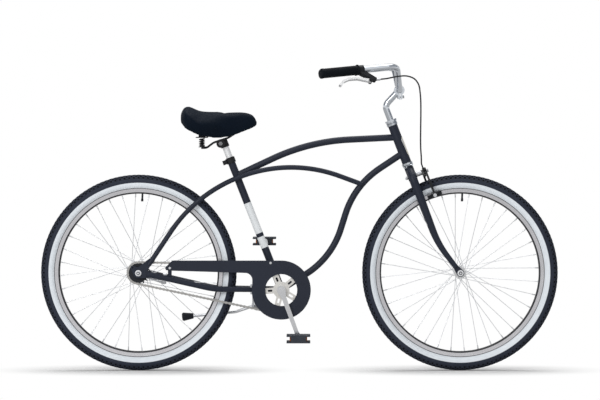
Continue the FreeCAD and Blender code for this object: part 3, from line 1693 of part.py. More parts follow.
def brake_cable():
    start = lever_plane(0)(barrel_start + barrel_length + seat_gap, barrel_below)
    end = steer(stop_high + seat_gap, wire_ahead, -stop_spread)
    points = [start, start + lever_ahead * cable_lead]
    points += [end + Vector(*point) for point in cable_route]
    points += [end + steer_up * cable_tail, end]
    radii = []
    for before, at, after in zip(points, points[1:], points[2:]):
        half = (before - at).getAngle(after - at) / 2
        shorter = min((before - at).Length, (after - at).Length)
        radii.append(0.45 * shorter * math.tan(half))
    print("brake cable radii", [round(radius) for radius in radii])
    solid = pipe(points, radii, cable_radius)
    length = route(points, radii).Length
    print("brake cable length", round(length, 1), "volume share",
          round(solid.Volume / (math.pi * cable_radius ** 2 * length), 4))
    return solid


# Seat
clamp_height = seat_tube_length + post_above - clamp_sleeve_height / 2
clamp_centre = seat(clamp_height) + Vector(-clamp_back, 0, 0)


def seat_post():
    low = seat(seat_tube_length - post_insert)
    high = seat(seat_tube_length + post_above)
    radius = post_diameter / 2
    return rod(low, high, radius).cut(rod(low, high - seat_up * post_wall, radius - post_wall))


def saddle_clamp():
    # Sleeve on the post with a cross barrel; jaws, bolt and nuts hold the rails
    low = seat(clamp_height - clamp_sleeve_height / 2)
    high = seat(clamp_height + clamp_sleeve_height / 2)
    bore = post_diameter / 2 + seat_gap
    inner_face = rail_spread / 2 - rail_diameter / 2 - running_gap
    outer_face = rail_spread / 2 + rail_diameter / 2 + running_gap
    outer_end = outer_face + clamp_jaw_thickness
    barrel = rod(clamp_centre + right * (inner_face - clamp_jaw_thickness),
                 clamp_centre + left * (inner_face - clamp_jaw_thickness), clamp_barrel_radius)
    pieces = [rod(low, high, bore + clamp_sleeve_wall), barrel]
    for out in (left, right):
        jaw_start = clamp_centre + out * (inner_face - clamp_jaw_thickness)
        pieces.append(rod(jaw_start, clamp_centre + out * inner_face, clamp_jaw_radius))
    hole = rod(clamp_centre + right * outer_end, clamp_centre + left * outer_end,
               clamp_bolt_radius + seat_gap)
    body = merge(pieces).cut([rod(low, high, bore), hole])
    end = outer_end + clamp_nut_height
    post_room = rod(low, high, bore)
    bolt = rod(clamp_centre + right * (end + 2), clamp_centre + left * (end + 2), clamp_bolt_radius)
    made = [largest(body)]
    made.extend(bolt.cut(post_room).Solids)
    for out in (left, right):
        a = clamp_centre + out * outer_face
        b = clamp_centre + out * outer_end
        c = clamp_centre + out * end
        made.append(sleeve(a, b, clamp_jaw_radius, clamp_bolt_radius + seat_gap))
        made.append(hex_prism(b, c, clamp_nut_radius * 1.8).cut(rod(b, c, clamp_bolt_radius + seat_gap)))
    return made


spring_centre = clamp_centre + Vector(-spring_back, spring_spread / 2, 0)


def rail_line(distance):
    # Point on the straight of the left rail, counted back from above the clamp
    return clamp_centre + Vector(0, rail_spread / 2, rail_above) + sloped(180 + rail_slope) * distance


def spring_low():
    return clamp_centre.z - spring_below


def saddle_rail():
    # Left rail: from under the nose, through the clamp, down and back under the spring's seat
    seat_spot = Vector(spring_centre.x, spring_centre.y, spring_low())
    end = seat_spot - up * (rail_diameter / 2 + 1)
    dip = end + Vector(spring_diameter / 2 + rail_diameter, -rail_diameter * 1.5, 0)
    front = clamp_centre + Vector(rail_front_reach, rail_front_spread / 2, rail_above + rail_front_rise)
    points = [front, rail_line(-rail_hold), rail_line(rail_hold), dip, end]
    wire = pipe(points, [rail_bend, rail_bend, rail_bend * 0.8], rail_diameter / 2)
    disc = rod(seat_spot - up * spring_seat, seat_spot, spring_diameter / 2 + 1)
    core = rod(seat_spot - up * spring_seat, seat_spot + up * (spring_pitch + spring_wire),
               spring_diameter / 2 - spring_wire - 1)
    return merge([wire, disc, core])


def biarc(a, a_aim, b, b_aim):
    # Two tangent arcs that leave a along a_aim and reach b along b_aim
    gap = b - a
    both = a_aim + b_aim
    bend = 2 * (1 - a_aim.dot(b_aim))
    reach = (-gap.dot(both) + math.sqrt(gap.dot(both) ** 2 + bend * gap.dot(gap))) / bend
    first = a + a_aim * reach
    last = b - b_aim * reach
    joint = (first + last) / 2
    edges = []
    for start, at, end in ((a, first, joint), (joint, last, b)):
        half = (start - at).getAngle(end - at) / 2
        inward = unit(unit(start - at) + unit(end - at))
        middle = at + inward * (reach / math.cos(half) - reach * math.tan(half))
        edges.append(Part.Arc(start, middle, end).toShape())
    return edges


def saddle_spring():
    # Left spring: quarter turns of a helix, with straight ends
    radius = (spring_diameter - spring_wire) / 2
    foot = Vector(spring_centre.x, spring_centre.y, spring_low() + spring_wire / 2 + 2 * running_gap)

    def helix(turn):
        angle = 2 * math.pi * turn
        return foot + Vector(radius * math.cos(angle), radius * math.sin(angle), spring_pitch * turn)

    def aim(turn):
        angle = 2 * math.pi * turn
        rise = spring_pitch / (2 * math.pi)
        return unit(Vector(-radius * math.sin(angle), radius * math.cos(angle), rise))

    edges = []
    begin = helix(0) - aim(0) * spring_wire
    edges.append(Part.LineSegment(begin, helix(0)).toShape())
    for i in range(spring_turns * 4):
        edges += biarc(helix(i / 4), aim(i / 4), helix((i + 1) / 4), aim((i + 1) / 4))
    finish = helix(spring_turns) + aim(spring_turns) * spring_wire
    edges.append(Part.LineSegment(helix(spring_turns), finish).toShape())
    ring = Part.Wire(Part.makeCircle(spring_wire / 2, begin, aim(0)))
    samples = [helix(i / 40) for i in range(spring_turns * 40 + 1)]
    near = min(
        (p - q).Length
        for i, p in enumerate(samples)
        for q in samples[i + 20:]
    )
    print("saddle spring least gap to itself", round(near - spring_wire, 2))
    return Part.Wire(edges).makePipeShell([ring], True, False)


def spring_top():
    return spring_low() + 4 * running_gap + spring_pitch * spring_turns + spring_wire


def skirt_foot(station):
    # Half width of the cushion at its lower edge
    back, half, top, edge = station
    return half - min((top - edge) * math.tan(math.radians(saddle_skirt_angle)), half / 4)


def saddle_plane(station):
    x = clamp_centre.x + saddle_nose_ahead - station[0]
    return lambda y, z: Vector(x, y, clamp_centre.z + z)


def saddle_section(station):
    # Closed cross section of the cushion: crown, drawn-in sides and flat underside
    back, half, top, edge = station
    foot = skirt_foot(station)
    belly = edge + (top - edge) * 0.45
    shoulder = edge + (top - edge) * 0.8
    neck = half * 0.86
    return outline(saddle_plane(station), [
        (-foot, edge),
        (foot, edge),
        ((half, belly), (neck, shoulder)),
        ((0, top), (-neck, shoulder)),
        ((-half, belly), (-foot, edge)),
    ])


def pan_section(station, gap, low, high):
    # Cross section of the pan, or of the room for it inside the skirt
    half = skirt_foot(station) - skirt_thickness - gap
    edge = station[3]
    return outline(saddle_plane(station), [
        (-half, edge + low),
        (half, edge + low),
        (half, edge + high),
        ((0, edge + high + pan_crown), (-half, edge + high)),
    ])


def pan_loft(gap, low, high):
    # The pan leaves out the first and the last of the stations
    sections = [pan_section(station, gap, low, high) for station in saddle_stations[1:-1]]
    return Part.makeLoft(sections, True, False)


def saddle_cushion():
    outer = Part.makeLoft([saddle_section(station) for station in saddle_stations], True, False)
    return largest(outer.cut(pan_loft(0, -pan_lift, pan_lift + pan_thickness + running_gap)))


def saddle_pan():
    # Pan inside the skirt, with the plate and posts for the springs and the socket for the rails
    pieces = [pan_loft(running_gap, pan_lift, pan_lift + pan_thickness)]
    high = clamp_centre.z + pan_lift + saddle_stations[6][3] + pan_thickness / 2
    post_radius = spring_diameter / 2 + 1
    for side in (1, -1):
        low = Vector(spring_centre.x, side * spring_centre.y, spring_top())
        pieces.append(rod(low, Vector(low.x, low.y, high), post_radius))
    plate_end = spring_plate_length / 2
    plate_side = spring_centre.y + post_radius
    pieces.append(box((spring_centre.x - plate_end, spring_centre.x + plate_end), (-plate_side, plate_side),
                      (spring_top(), spring_top() + spring_plate_thickness)))
    front = clamp_centre + Vector(rail_front_reach, 0, rail_above + rail_front_rise)
    half = (rail_front_spread + rail_diameter) / 2
    pieces.append(box((front.x + rail_diameter / 4 + running_gap, front.x + rail_diameter), (-half, half),
                      (front.z - rail_diameter, front.z + rail_diameter + 4)))
    return merge(pieces)


# Coaster brake arm and kickstand


def brake_arm_end():
    return rear_axle + sloped(brake_lever_angle) * brake_lever_length


def coaster_arm(stay_outer):
    # Arm on the left of the hub, and the clip that ties it to the chain stay
    face = rear_dropout_spread / 2 - brake_lever_inset
    place = side_plate(face - brake_lever_thickness)
    depth = left * brake_lever_thickness
    end = brake_arm_end()
    arm = strap(place, depth, (rear_axle.x, rear_axle.z), brake_lever_hub_radius, (end.x, end.z),
                brake_lever_end_radius)
    bore = rod(rear_axle, rear_axle + left * rear_dropout_spread, rear_axle_diameter / 2 + shaft_gap)
    hole = rod(end, end + left * rear_dropout_spread, clip_screw_radius + seat_gap)
    foot, next_point = stay_points()[:2]
    share = (end.x - foot.x) / (next_point.x - foot.x)
    on_stay = foot + (next_point - foot) * share
    aim = unit(next_point - foot)
    low = on_stay - aim * (clip_width / 2)
    high = on_stay + aim * (clip_width / 2)
    inner = stay_diameter / 2 + seat_gap
    ring = rod(low, high, inner + clip_thickness)
    half = clip_width / 2
    tab = box((on_stay.x - half, on_stay.x + half), (face, face + clip_thickness),
              (end.z - half, on_stay.z))
    clip = merge([ring, tab]).cut([rod(low - aim * 5, high + aim * 5, inner), hole])
    screw = merge([
        rod(end + left * (face - brake_lever_thickness - 2), end + left * (face + clip_thickness + 3),
            clip_screw_radius),
        rod(end + left * (face - brake_lever_thickness - 2.5), end + left * (face - brake_lever_thickness),
            clip_screw_radius * 2),
    ])
    return [arm.cut([bore, hole]), largest(clip), screw]


stand_spot = bracket + Vector(-stand_back, 0, 0)
stand_pivot = stand_spot + Vector(0, stand_pivot_out, -stand_pivot_drop)
stand_folded = unit(Vector(-stand_foot_back, stand_foot_out, -stand_foot_drop))
stand_open = unit(Vector(
    math.sin(math.radians(stand_forward)),
    math.sin(math.radians(stand_splay)),
    -math.cos(math.radians(stand_splay)),
))
stand_swing = unit(stand_open - stand_folded)
stand_axis = unit(left - stand_swing * left.dot(stand_swing))


def kickstand_bracket(stay_outer):
    # Plates above and below the chain stays, bolt between them, boss for the pivot
    x = (stand_spot.x - stand_plate_length / 2, stand_spot.x + stand_plate_length / 2)
    wide = stand_plate_width / 2
    stay_z = bracket.z + stay_points()[2].z - bracket.z
    top_low = stay_z + stay_diameter / 2 + seat_gap
    low_high = stay_z - stay_diameter / 2 - seat_gap - 2
    both = [stay_outer, mirror(stay_outer)]
    top = box(x, (-wide, wide), (top_low - 3, top_low + stand_plate_thickness)).cut(both)
    base = box(x, (-wide, wide), (low_high - stand_plate_thickness, low_high + 3)).cut(both)
    boss_inner = stand_pivot - stand_axis * (stand_boss_length + running_gap)
    boss = rod(boss_inner, stand_pivot - stand_axis * running_gap, stand_pivot_radius + 2)
    neck = box((stand_pivot.x - stand_pivot_radius, stand_pivot.x + stand_pivot_radius),
               (boss_inner.y + 2, boss_inner.y + 14), (stand_pivot.z, low_high))
    pin = rod(boss_inner, stand_pivot + stand_axis * (stand_root_length + 3), stand_pin_radius)
    casting = merge([largest(base), boss, neck, pin])
    bolt_low = stand_spot + up * (low_high - stand_plate_thickness - 6 - stand_spot.z)
    bolt_high = stand_spot + up * (top_low + stand_plate_thickness - stand_spot.z)
    hole = rod(bolt_low - up, bolt_high + up, stand_bolt_radius + seat_gap)
    shank = rod(bolt_low, bolt_high, stand_bolt_radius)
    head = hex_prism(bolt_high, bolt_high + up * 5, stand_bolt_head * 2)
    return [largest(top).cut(hole), casting.cut(hole), merge([shank, head])]


def kickstand_leg():
    root = stand_pivot + stand_axis * (stand_root_length / 2)
    knee = stand_pivot + Vector(-stand_knee_back, stand_root_length / 2, -stand_knee_drop)
    foot = stand_pivot + Vector(-stand_foot_back, stand_root_length / 2 + stand_foot_out, -stand_foot_drop)
    aim = unit(foot - knee)
    tip = foot + aim * (stand_rubber_length - stand_tip_cover)
    leg = pipe([root, knee, tip], [stand_knee_bend], stand_leg_radius)
    hub = rod(stand_pivot, stand_pivot + stand_axis * stand_root_length, stand_pivot_radius)
    hole_end = stand_pivot + stand_axis * (stand_root_length + 1)
    hole = rod(stand_pivot - stand_axis, hole_end, stand_pin_radius + shaft_gap)
    keep("kickstand_leg", merge([leg, hub]).cut(hole))
    rubber = turned([
        (stand_leg_radius + seat_gap, 0),
        (stand_rubber_start, 0),
        (stand_rubber_end, stand_rubber_length - 4),
        (stand_rubber_end - 3, stand_rubber_length),
        (0, stand_rubber_length),
        (0, stand_rubber_length - stand_tip_cover + seat_gap),
        (stand_leg_radius + seat_gap, stand_rubber_length - stand_tip_cover + seat_gap),
    ], foot, aim)
    keep("kickstand_foot", rubber)


def bracket_cup(side):
    # Cup screwed into the shell, with room for its balls
    half = shell_width / 2
    bore = shell_radius - shell_wall - seat_gap
    ball_room = spindle_radius + bracket_ball + 2 * running_gap
    return turned([
        (ball_room, half - 14),
        (bore, half - 14),
        (bore, half),
        (shell_radius - 1, half),
        (shell_radius - 1, half + cup_flange),
        (spindle_radius + running_gap, half + cup_flange),
        (spindle_radius + running_gap, half - 4),
        (ball_room, half - 4),
    ], bracket, left * side)


def frame_bearings():
    made = []
    for side in (1, -1):
        centre = bracket + left * (side * (shell_width / 2 - 8))
        made.append(torus(centre, left, spindle_radius + running_gap + bracket_ball / 2, bracket_ball))
    made.append(headset_cage(head_high, steer_up))
    made.append(headset_cage(head_low, steer_up * -1))
    return made


def build():
    make_wheel("front", front_axle, front_hub(), front_flange_radius, front_flange_spread, front_spoke_phase)
    make_wheel("rear", rear_axle, rear_hub(), rear_flange_radius, rear_flange_spread, rear_spoke_phase)
    keep("front_axle_set", *front_axle_set())
    keep("rear_axle_set", *rear_axle_set())
    stay_outer = make_frame()
    keep("head_badge", head_badge())
    keep("seat_clamp", *seat_clamp())
    keep("chain_guard", chain_guard())
    keep("chain_guard_brackets", *guard_brackets(stay_outer))
    keep("headset_cups", headset_cup(head_high, steer_up), headset_cup(head_low, steer_up * -1))
    keep("bottom_bracket_cups", bracket_cup(1), bracket_cup(-1))
    keep("frame_bearings", *frame_bearings())
    keep("chain", *chain_links_made())
    keep("rear_sprocket", rear_sprocket())
    keep("chainring", chainring())
    keep("crank_spindle", crank_spindle())
    keep("crank_arms", crank_arm(1), crank_arm(-1), crank_bolt(1), crank_bolt(-1))
    keep("pedal_spindles", pedal_spindle(1), pedal_spindle(-1))
    keep("pedal_left", *pedal(1))
    keep("pedal_right", *pedal(-1))
    nuts, steerer_top = headset_nuts()
    keep("headset_nuts", *nuts)
    keep("fork_steerer", fork_steerer(steerer_top))
    blade = fork_blade()
    keep("fork_blades", blade, mirror(blade))
    keep("caliper_arm_right", *caliper_arm(-1, caliper_front))
    keep("caliper_arm_left", *caliper_arm(1, caliper_rear))
    keep("brake_pad_right", *brake_pad(-1, caliper_front))
    keep("brake_pad_left", *brake_pad(1, caliper_rear))
    keep("caliper_bolt", *caliper_bolt())
    keep("quill_stem", quill_stem())
    keep("stem_bolts", *stem_bolts())
    keep("handlebar", handlebar())
    right_grip = grip()
    keep("handlebar_grips", right_grip, mirror(right_grip))
    keep("brake_perch", *brake_perch())
    keep("brake_lever", brake_lever())
    keep("brake_cable", brake_cable())
    keep("seat_post", seat_post())
    keep("saddle_clamp", *saddle_clamp())
    rail = saddle_rail()
    keep("saddle_rails", rail, mirror(rail))
    spring = saddle_spring()
    keep("saddle_springs", spring, mirror(spring))
    keep("saddle_cushion", saddle_cushion())
    keep("saddle_pan", saddle_pan())
    keep("coaster_brake_arm", *coaster_arm(stay_outer))
    keep("kickstand_bracket", *kickstand_bracket(stay_outer))
    kickstand_leg()


build()
os.makedirs("parts", exist_ok=True)
for name, solids in nodes.items():
    shapes = [solid for shape in solids for solid in shape.Solids]
    whole = shapes[0] if len(shapes) == 1 else Part.makeCompound(shapes)
    if not whole.isValid():
        print("not valid:", name)
    whole.exportStep("parts/" + name + ".step")
print(len(nodes), "nodes")
for name, point in (("bracket", bracket), ("steer_foot", steer_foot), ("bar_clamp", bar_clamp),
                    ("lever_pivot", lever_pivot), ("lever_axis", lever_axis), ("clamp_centre", clamp_centre),
                    ("stand_pivot", stand_pivot), ("stand_axis", stand_axis), ("crank_end", crank_end(-1))):
    print(name, [round(value, 3) for value in point])
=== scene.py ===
import json
import math
import bmesh
import bpy
from mathutils import Matrix, Vector


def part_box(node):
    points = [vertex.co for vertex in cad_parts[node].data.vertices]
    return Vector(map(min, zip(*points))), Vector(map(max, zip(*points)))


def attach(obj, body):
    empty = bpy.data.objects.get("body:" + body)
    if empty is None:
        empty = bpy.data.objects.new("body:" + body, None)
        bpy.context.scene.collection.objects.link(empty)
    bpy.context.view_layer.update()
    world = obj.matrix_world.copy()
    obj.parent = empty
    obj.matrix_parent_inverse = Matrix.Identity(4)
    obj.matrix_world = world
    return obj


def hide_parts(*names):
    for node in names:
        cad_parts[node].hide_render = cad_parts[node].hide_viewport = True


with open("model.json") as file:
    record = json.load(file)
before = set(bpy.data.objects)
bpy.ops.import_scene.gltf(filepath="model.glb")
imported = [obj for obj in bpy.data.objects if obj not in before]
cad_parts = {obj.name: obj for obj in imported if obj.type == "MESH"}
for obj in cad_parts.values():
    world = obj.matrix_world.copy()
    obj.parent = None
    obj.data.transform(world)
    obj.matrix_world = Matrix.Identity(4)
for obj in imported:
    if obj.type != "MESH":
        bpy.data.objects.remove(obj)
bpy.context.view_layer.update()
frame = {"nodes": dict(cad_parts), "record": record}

nodes = frame["nodes"]
joints = frame["record"]["behaviour"]["joints"]
spot = {joint["name"]: Vector(joint["pos_m"]) for joint in joints if "pos_m" in joint}
frontAxle = spot["front_wheel_spin"]
rearAxle = spot["rear_wheel_spin"]
print("frame loaded:", len(nodes), "nodes")


# a value, or another node's output, goes into an input
def feed(tree, slot, value):
    if isinstance(value, Socket):
        tree.links.new(value.out, slot)
    else:
        slot.default_value = value


# a shader socket that takes part in Python sums, which add Math nodes
class Socket:
    def __init__(self, tree, out):
        self.tree = tree
        self.out = out

    def maths(self, operation, *values):
        made = self.tree.nodes.new("ShaderNodeMath")
        made.operation = operation
        for value, slot in zip(values, made.inputs):
            feed(self.tree, slot, value)
        return Socket(self.tree, made.outputs[0])

    def __add__(self, other):
        return self.maths("ADD", self, other)

    def __radd__(self, other):
        return self.maths("ADD", other, self)

    def __sub__(self, other):
        return self.maths("SUBTRACT", self, other)

    def __rsub__(self, other):
        return self.maths("SUBTRACT", other, self)

    def __mul__(self, other):
        return self.maths("MULTIPLY", self, other)

    def __rmul__(self, other):
        return self.maths("MULTIPLY", other, self)

    def __pow__(self, other):
        return self.maths("POWER", self, other)

    def __abs__(self):
        return self.maths("ABSOLUTE", self)

    def __lt__(self, other):
        return self.maths("LESS_THAN", self, other)

    def __gt__(self, other):
        return self.maths("GREATER_THAN", self, other)


# a node tree, and the one way that nodes come into it
class Nodes:
    def __init__(self, tree):
        self.tree = tree

    def node(self, kind, settings=None, sockets=None, out=0):
        made = self.tree.nodes.new("ShaderNode" + kind)
        for key, value in (settings or {}).items():
            setattr(made, key, value)
        for key, value in (sockets or {}).items():
            feed(self.tree, made.inputs[key], value)
        return Socket(self.tree, made.outputs[out])


# one material, and the patterns that its finish is mixed from
class Finish(Nodes):
    def __init__(self, name, fixed=None):
        self.made = bpy.data.materials.new(name)
        self.made.use_nodes = True
        super().__init__(self.made.node_tree)
        self.shader = self.tree.nodes["Principled BSDF"]
        for key, value in (fixed or {}).items():
            self.set(key, value)

    def set(self, key, value):
        feed(self.tree, self.shader.inputs[key], value)

    def show(self, shader):
        feed(self.tree, self.tree.nodes["Material Output"].inputs["Surface"], shader)

    def place(self, centre=(0, 0, 0)):
        at = self.node("TexCoord", out="Object")
        moved = tuple(-part for part in centre)
        return self.node("Mapping", {"vector_type": "POINT"}, {"Vector": at, "Location": moved})

    def axes(self, at):
        split = self.node("SeparateXYZ", None, {"Vector": at}).out.node
        return [Socket(self.tree, part) for part in split.outputs]

    # distance from a wheel's axle, and place along it
    def roundAxle(self, at):
        x, y, z = self.axes(at)
        return (x * x + z * z) ** 0.5, y

    def noise(self, at, scale, detail, rough=0.5):
        return self.node("TexNoise", {"noise_dimensions": "3D"},
                         {"Vector": at, "Scale": scale, "Detail": detail, "Roughness": rough})

    def mix(self, mask, first, second):
        return self.node("Mix", {"data_type": "RGBA"}, {0: mask, 6: first, 7: second}, out=2)

    # 0 at low and 1 at high, with a soft step between
    def ease(self, value, low, high):
        return self.node("MapRange", {"interpolation_type": "SMOOTHSTEP"}, {0: value, 1: low, 2: high})

    # roughness from a base, changed by each pattern
    def rough(self, parts, *patterns):
        total = parts[0]
        for part, pattern in zip(parts[1:], patterns):
            total = total + part * pattern
        self.set("Roughness", total)

    def bump(self, height, depth, strength):
        sockets = {"Strength": strength, "Distance": depth, "Height": height}
        self.set("Normal", self.node("Bump", None, sockets))


# a colour as a screen shows it, from 0 to 255
def shade(red, green, blue):
    made = []
    for part in (red / 255, green / 255, blue / 255):
        made.append(part / 12.92 if part <= 0.04045 else ((part + 0.055) / 1.055) ** 2.4)
    return tuple(made) + (1.0,)


# in the looks below a noise is (scale, detail), a bump is (depth, strength),
# and a roughness is its base and then its change with each pattern

# painted steel of the frame, fork and chain guard
paintLook = {
    "dark": shade(27, 32, 45), "pale": shade(36, 42, 57), "gloss": 0.28,
    "cloud": (9.0, 4.0), "grain": (1600.0, 2.0), "rough": (0.4, 0.1, 0.08), "bump": (0.00005, 0.6),
}
# plain white bands round the seat tube, by distance up it from the crank
seatAngle = math.radians(68.6)
seatBands = {
    "from": spot["crank_spin"],
    "aim": (-math.cos(seatAngle), math.sin(seatAngle)),
    "runs": [(0.1526, 0.1923), (0.2054, 0.3154)],
    "dark": shade(226, 230, 233),
    "pale": shade(238, 241, 243),
}


def slatePaint(name, bands=None):
    coat = Finish(name, {"Specular IOR Level": paintLook["gloss"]})
    at = coat.place()
    cloud = coat.noise(at, *paintLook["cloud"])
    grain = coat.noise(at, *paintLook["grain"])
    colour = coat.mix(cloud, paintLook["dark"], paintLook["pale"])
    if bands:
        x, _, z = coat.axes(coat.place(bands["from"]))
        along = x * bands["aim"][0] + z * bands["aim"][1]
        mask = 0.0
        for low, high in bands["runs"]:
            mask = mask + (along > low) * (along < high)
        colour = coat.mix(mask, colour, coat.mix(cloud, bands["dark"], bands["pale"]))
    coat.set("Base Color", colour)
    coat.rough(paintLook["rough"], cloud, grain)
    coat.bump(grain, *paintLook["bump"])
    return coat.made


# tyre rubber with a pale side wall, and painted shade in the grooves between the tread blocks
tyreLook = {
    "rubber": shade(36, 41, 54), "worn": shade(51, 56, 69), "paintedGrooveShade": shade(11, 12, 17),
    "wall": shade(240, 245, 250), "wallShade": shade(226, 233, 240), "gloss": 0.22,
    "wallOuter": 0.3052, "outerBlur": 0.0006, "wallInner": 0.2868, "innerBlur": 0.0005,
    "middle": 0.305, "grooveTop": 0.0264, "grooveFloor": 0.0252,
    "dust": (60.0, 4.0), "grain": (900.0, 2.0), "rough": (0.72, -0.14, 0.1), "bump": (0.0001, 0.5),
    "rings": 3600.0, "ringDepth": 0.6,
}


def tyreRubber(name, axle):
    rubber = Finish(name, {"Specular IOR Level": tyreLook["gloss"]})
    at = rubber.place(axle)
    reach, y = rubber.roundAxle(at)
    dust = rubber.noise(at, *tyreLook["dust"])
    grain = rubber.noise(at, *tyreLook["grain"])
    outer, inner = tyreLook["wallOuter"], tyreLook["wallInner"]
    wall = rubber.ease(reach, outer + tyreLook["outerBlur"], outer - tyreLook["outerBlur"])
    side = wall * rubber.ease(reach, inner - tyreLook["innerBlur"], inner + tyreLook["innerBlur"])
    # distance from the middle of the tyre's section, less in the grooves
    section = ((reach - tyreLook["middle"]) ** 2.0 + y * y) ** 0.5
    groove = rubber.ease(section, tyreLook["grooveTop"], tyreLook["grooveFloor"])
    dark = rubber.mix(dust, tyreLook["rubber"], tyreLook["worn"])
    # painted shade: the grooves are darker than the rubber of the blocks
    dark = rubber.mix(groove, dark, tyreLook["paintedGrooveShade"])
    pale = rubber.mix(dust, tyreLook["wallShade"], tyreLook["wall"])
    rubber.set("Base Color", rubber.mix(side, dark, pale))
    rubber.rough(tyreLook["rough"], side, grain)
    rings = reach.maths("SINE", reach * tyreLook["rings"])
    rubber.bump(grain + tyreLook["ringDepth"] * side * rings, *tyreLook["bump"])
    return rubber.made


# polished rim with a black inner channel, partly the rim's own black paint and partly a painted dark
# reflection of its curved spoke bed
rimLook = {
    "silver": (0.7, 0.695, 0.72, 1), "dull": (0.59, 0.585, 0.61, 1), "black": shade(30, 31, 36),
    "edge": 0.2728, "blur": 0.0004, "stretch": 40.0, "rings": (40.0, 3.0), "smear": (18.0, 3.0),
    "rough": (0.42, -0.22, 0.14), "bump": (0.00004, 0.4),
}


def rimMetal(name, axle):
    metal = Finish(name)
    at = metal.place(axle)
    reach, y = metal.roundAxle(at)
    section = metal.node("CombineXYZ", None, {0: reach * rimLook["stretch"], 1: y * rimLook["stretch"]})
    rings = metal.noise(section, *rimLook["rings"])
    smear = metal.noise(at, *rimLook["smear"])
    bright = metal.ease(reach, rimLook["edge"] - rimLook["blur"], rimLook["edge"] + rimLook["blur"])
    silver = metal.mix(smear, rimLook["dull"], rimLook["silver"])
    # the black inner channel is partly a painted dark reflection of the curved spoke bed
    metal.set("Base Color", metal.mix(bright, rimLook["black"], silver))
    metal.set("Metallic", bright)
    metal.rough(rimLook["rough"], bright, rings)
    metal.bump(rings, *rimLook["bump"])
    return metal.made


# bare and plated metals; here a roughness is its lowest and highest
metalLook = {"smearDetail": 4.0, "fine": (700.0, 2.0), "bump": (0.00003, 0.35)}
metals = {
    "chrome": {"pale": (0.66, 0.69, 0.73, 1), "dull": (0.54, 0.575, 0.62, 1), "rough": (0.06, 0.16)},
    "satinAlloy": {"pale": (0.88, 0.885, 0.89, 1), "dull": (0.78, 0.785, 0.79, 1), "rough": (0.3, 0.44)},
    "blastedAlloy": {"pale": (0.9, 0.91, 0.92, 1), "dull": (0.84, 0.85, 0.865, 1), "rough": (0.34, 0.46),
                     "bare": 0.4},
    "polishedCrank": {"pale": (0.8, 0.805, 0.82, 1), "dull": (0.7, 0.71, 0.73, 1), "rough": (0.1, 0.22)},
    "pressedSpider": {"pale": (0.8, 0.785, 0.75, 1), "dull": (0.7, 0.685, 0.655, 1),
                      "rough": (0.32, 0.46)},
    "spokeWire": {"pale": (0.82, 0.83, 0.85, 1), "dull": (0.7, 0.71, 0.73, 1), "rough": (0.3, 0.42)},
    "zincSteel": {"pale": (0.66, 0.67, 0.69, 1), "dull": (0.5, 0.51, 0.53, 1), "rough": (0.28, 0.45)},
    "chainSteel": {"pale": (0.5, 0.49, 0.475, 1), "dull": (0.33, 0.325, 0.315, 1), "rough": (0.3, 0.5),
                   "scale": 140.0},
    "darkSprocket": {"pale": (0.045, 0.047, 0.053, 1), "dull": (0.022, 0.023, 0.027, 1),
                     "rough": (0.35, 0.5)},
}


def plated(name, pale, dull, rough, scale=25.0, bare=1.0):
    metal = Finish(name, {"Metallic": bare})
    at = metal.place()
    smear = metal.noise(at, scale, metalLook["smearDetail"])
    fine = metal.noise(at, *metalLook["fine"])
    low, high = rough
    metal.set("Base Color", metal.mix(smear, dull, pale))
    metal.set("Roughness", low + (high - low) * (0.5 * smear + 0.5 * fine))
    metal.bump(fine, *metalLook["bump"])
    return metal.made


# axle ends and their nuts, with painted shade in the gap of the thread between them
nutLook = {
    "pale": (0.9, 0.91, 0.93, 1), "dull": (0.76, 0.77, 0.79, 1), "root": (0.07, 0.075, 0.085, 1),
    "rootInner": 0.0031, "rootOuter": 0.0058, "blur": 0.0004,
    "smear": (60.0, 3.0), "fine": (900.0, 2.0), "rough": (0.22, 0.16, 0.1), "bump": (0.00003, 0.35),
}


def axleNuts(name, axle):
    metal = Finish(name, {"Metallic": 1.0})
    at = metal.place(axle)
    reach = metal.roundAxle(at)[0]
    smear = metal.noise(at, *nutLook["smear"])
    fine = metal.noise(at, *nutLook["fine"])
    inner, outer, blur = nutLook["rootInner"], nutLook["rootOuter"], nutLook["blur"]
    # painted shade: a dark ring where the thread runs into the nut's bore
    root = metal.ease(reach, inner - blur, inner + blur) * metal.ease(reach, outer + blur, outer - blur)
    steel = metal.mix(smear, nutLook["dull"], nutLook["pale"])
    metal.set("Base Color", metal.mix(root, steel, nutLook["root"]))
    metal.rough(nutLook["rough"], smear, root)
    metal.bump(fine, *nutLook["bump"])
    return metal.made


# black enamel on clamps, rails and brake arms
enamelLook = {
    "dark": shade(11, 12, 15), "pale": shade(22, 24, 28), "gloss": 0.35,
    "cloud": (40.0, 4.0), "fine": (1500.0, 2.0), "rough": (0.34, 0.14), "bump": (0.00004, 0.5),
}


def blackEnamel(name):
    coat = Finish(name, {"Specular IOR Level": enamelLook["gloss"]})
    at = coat.place()
    cloud = coat.noise(at, *enamelLook["cloud"])
    fine = coat.noise(at, *enamelLook["fine"])
    coat.set("Base Color", coat.mix(cloud, enamelLook["dark"], enamelLook["pale"]))
    coat.rough(enamelLook["rough"], cloud)
    coat.bump(fine, *enamelLook["bump"])
    return coat.made


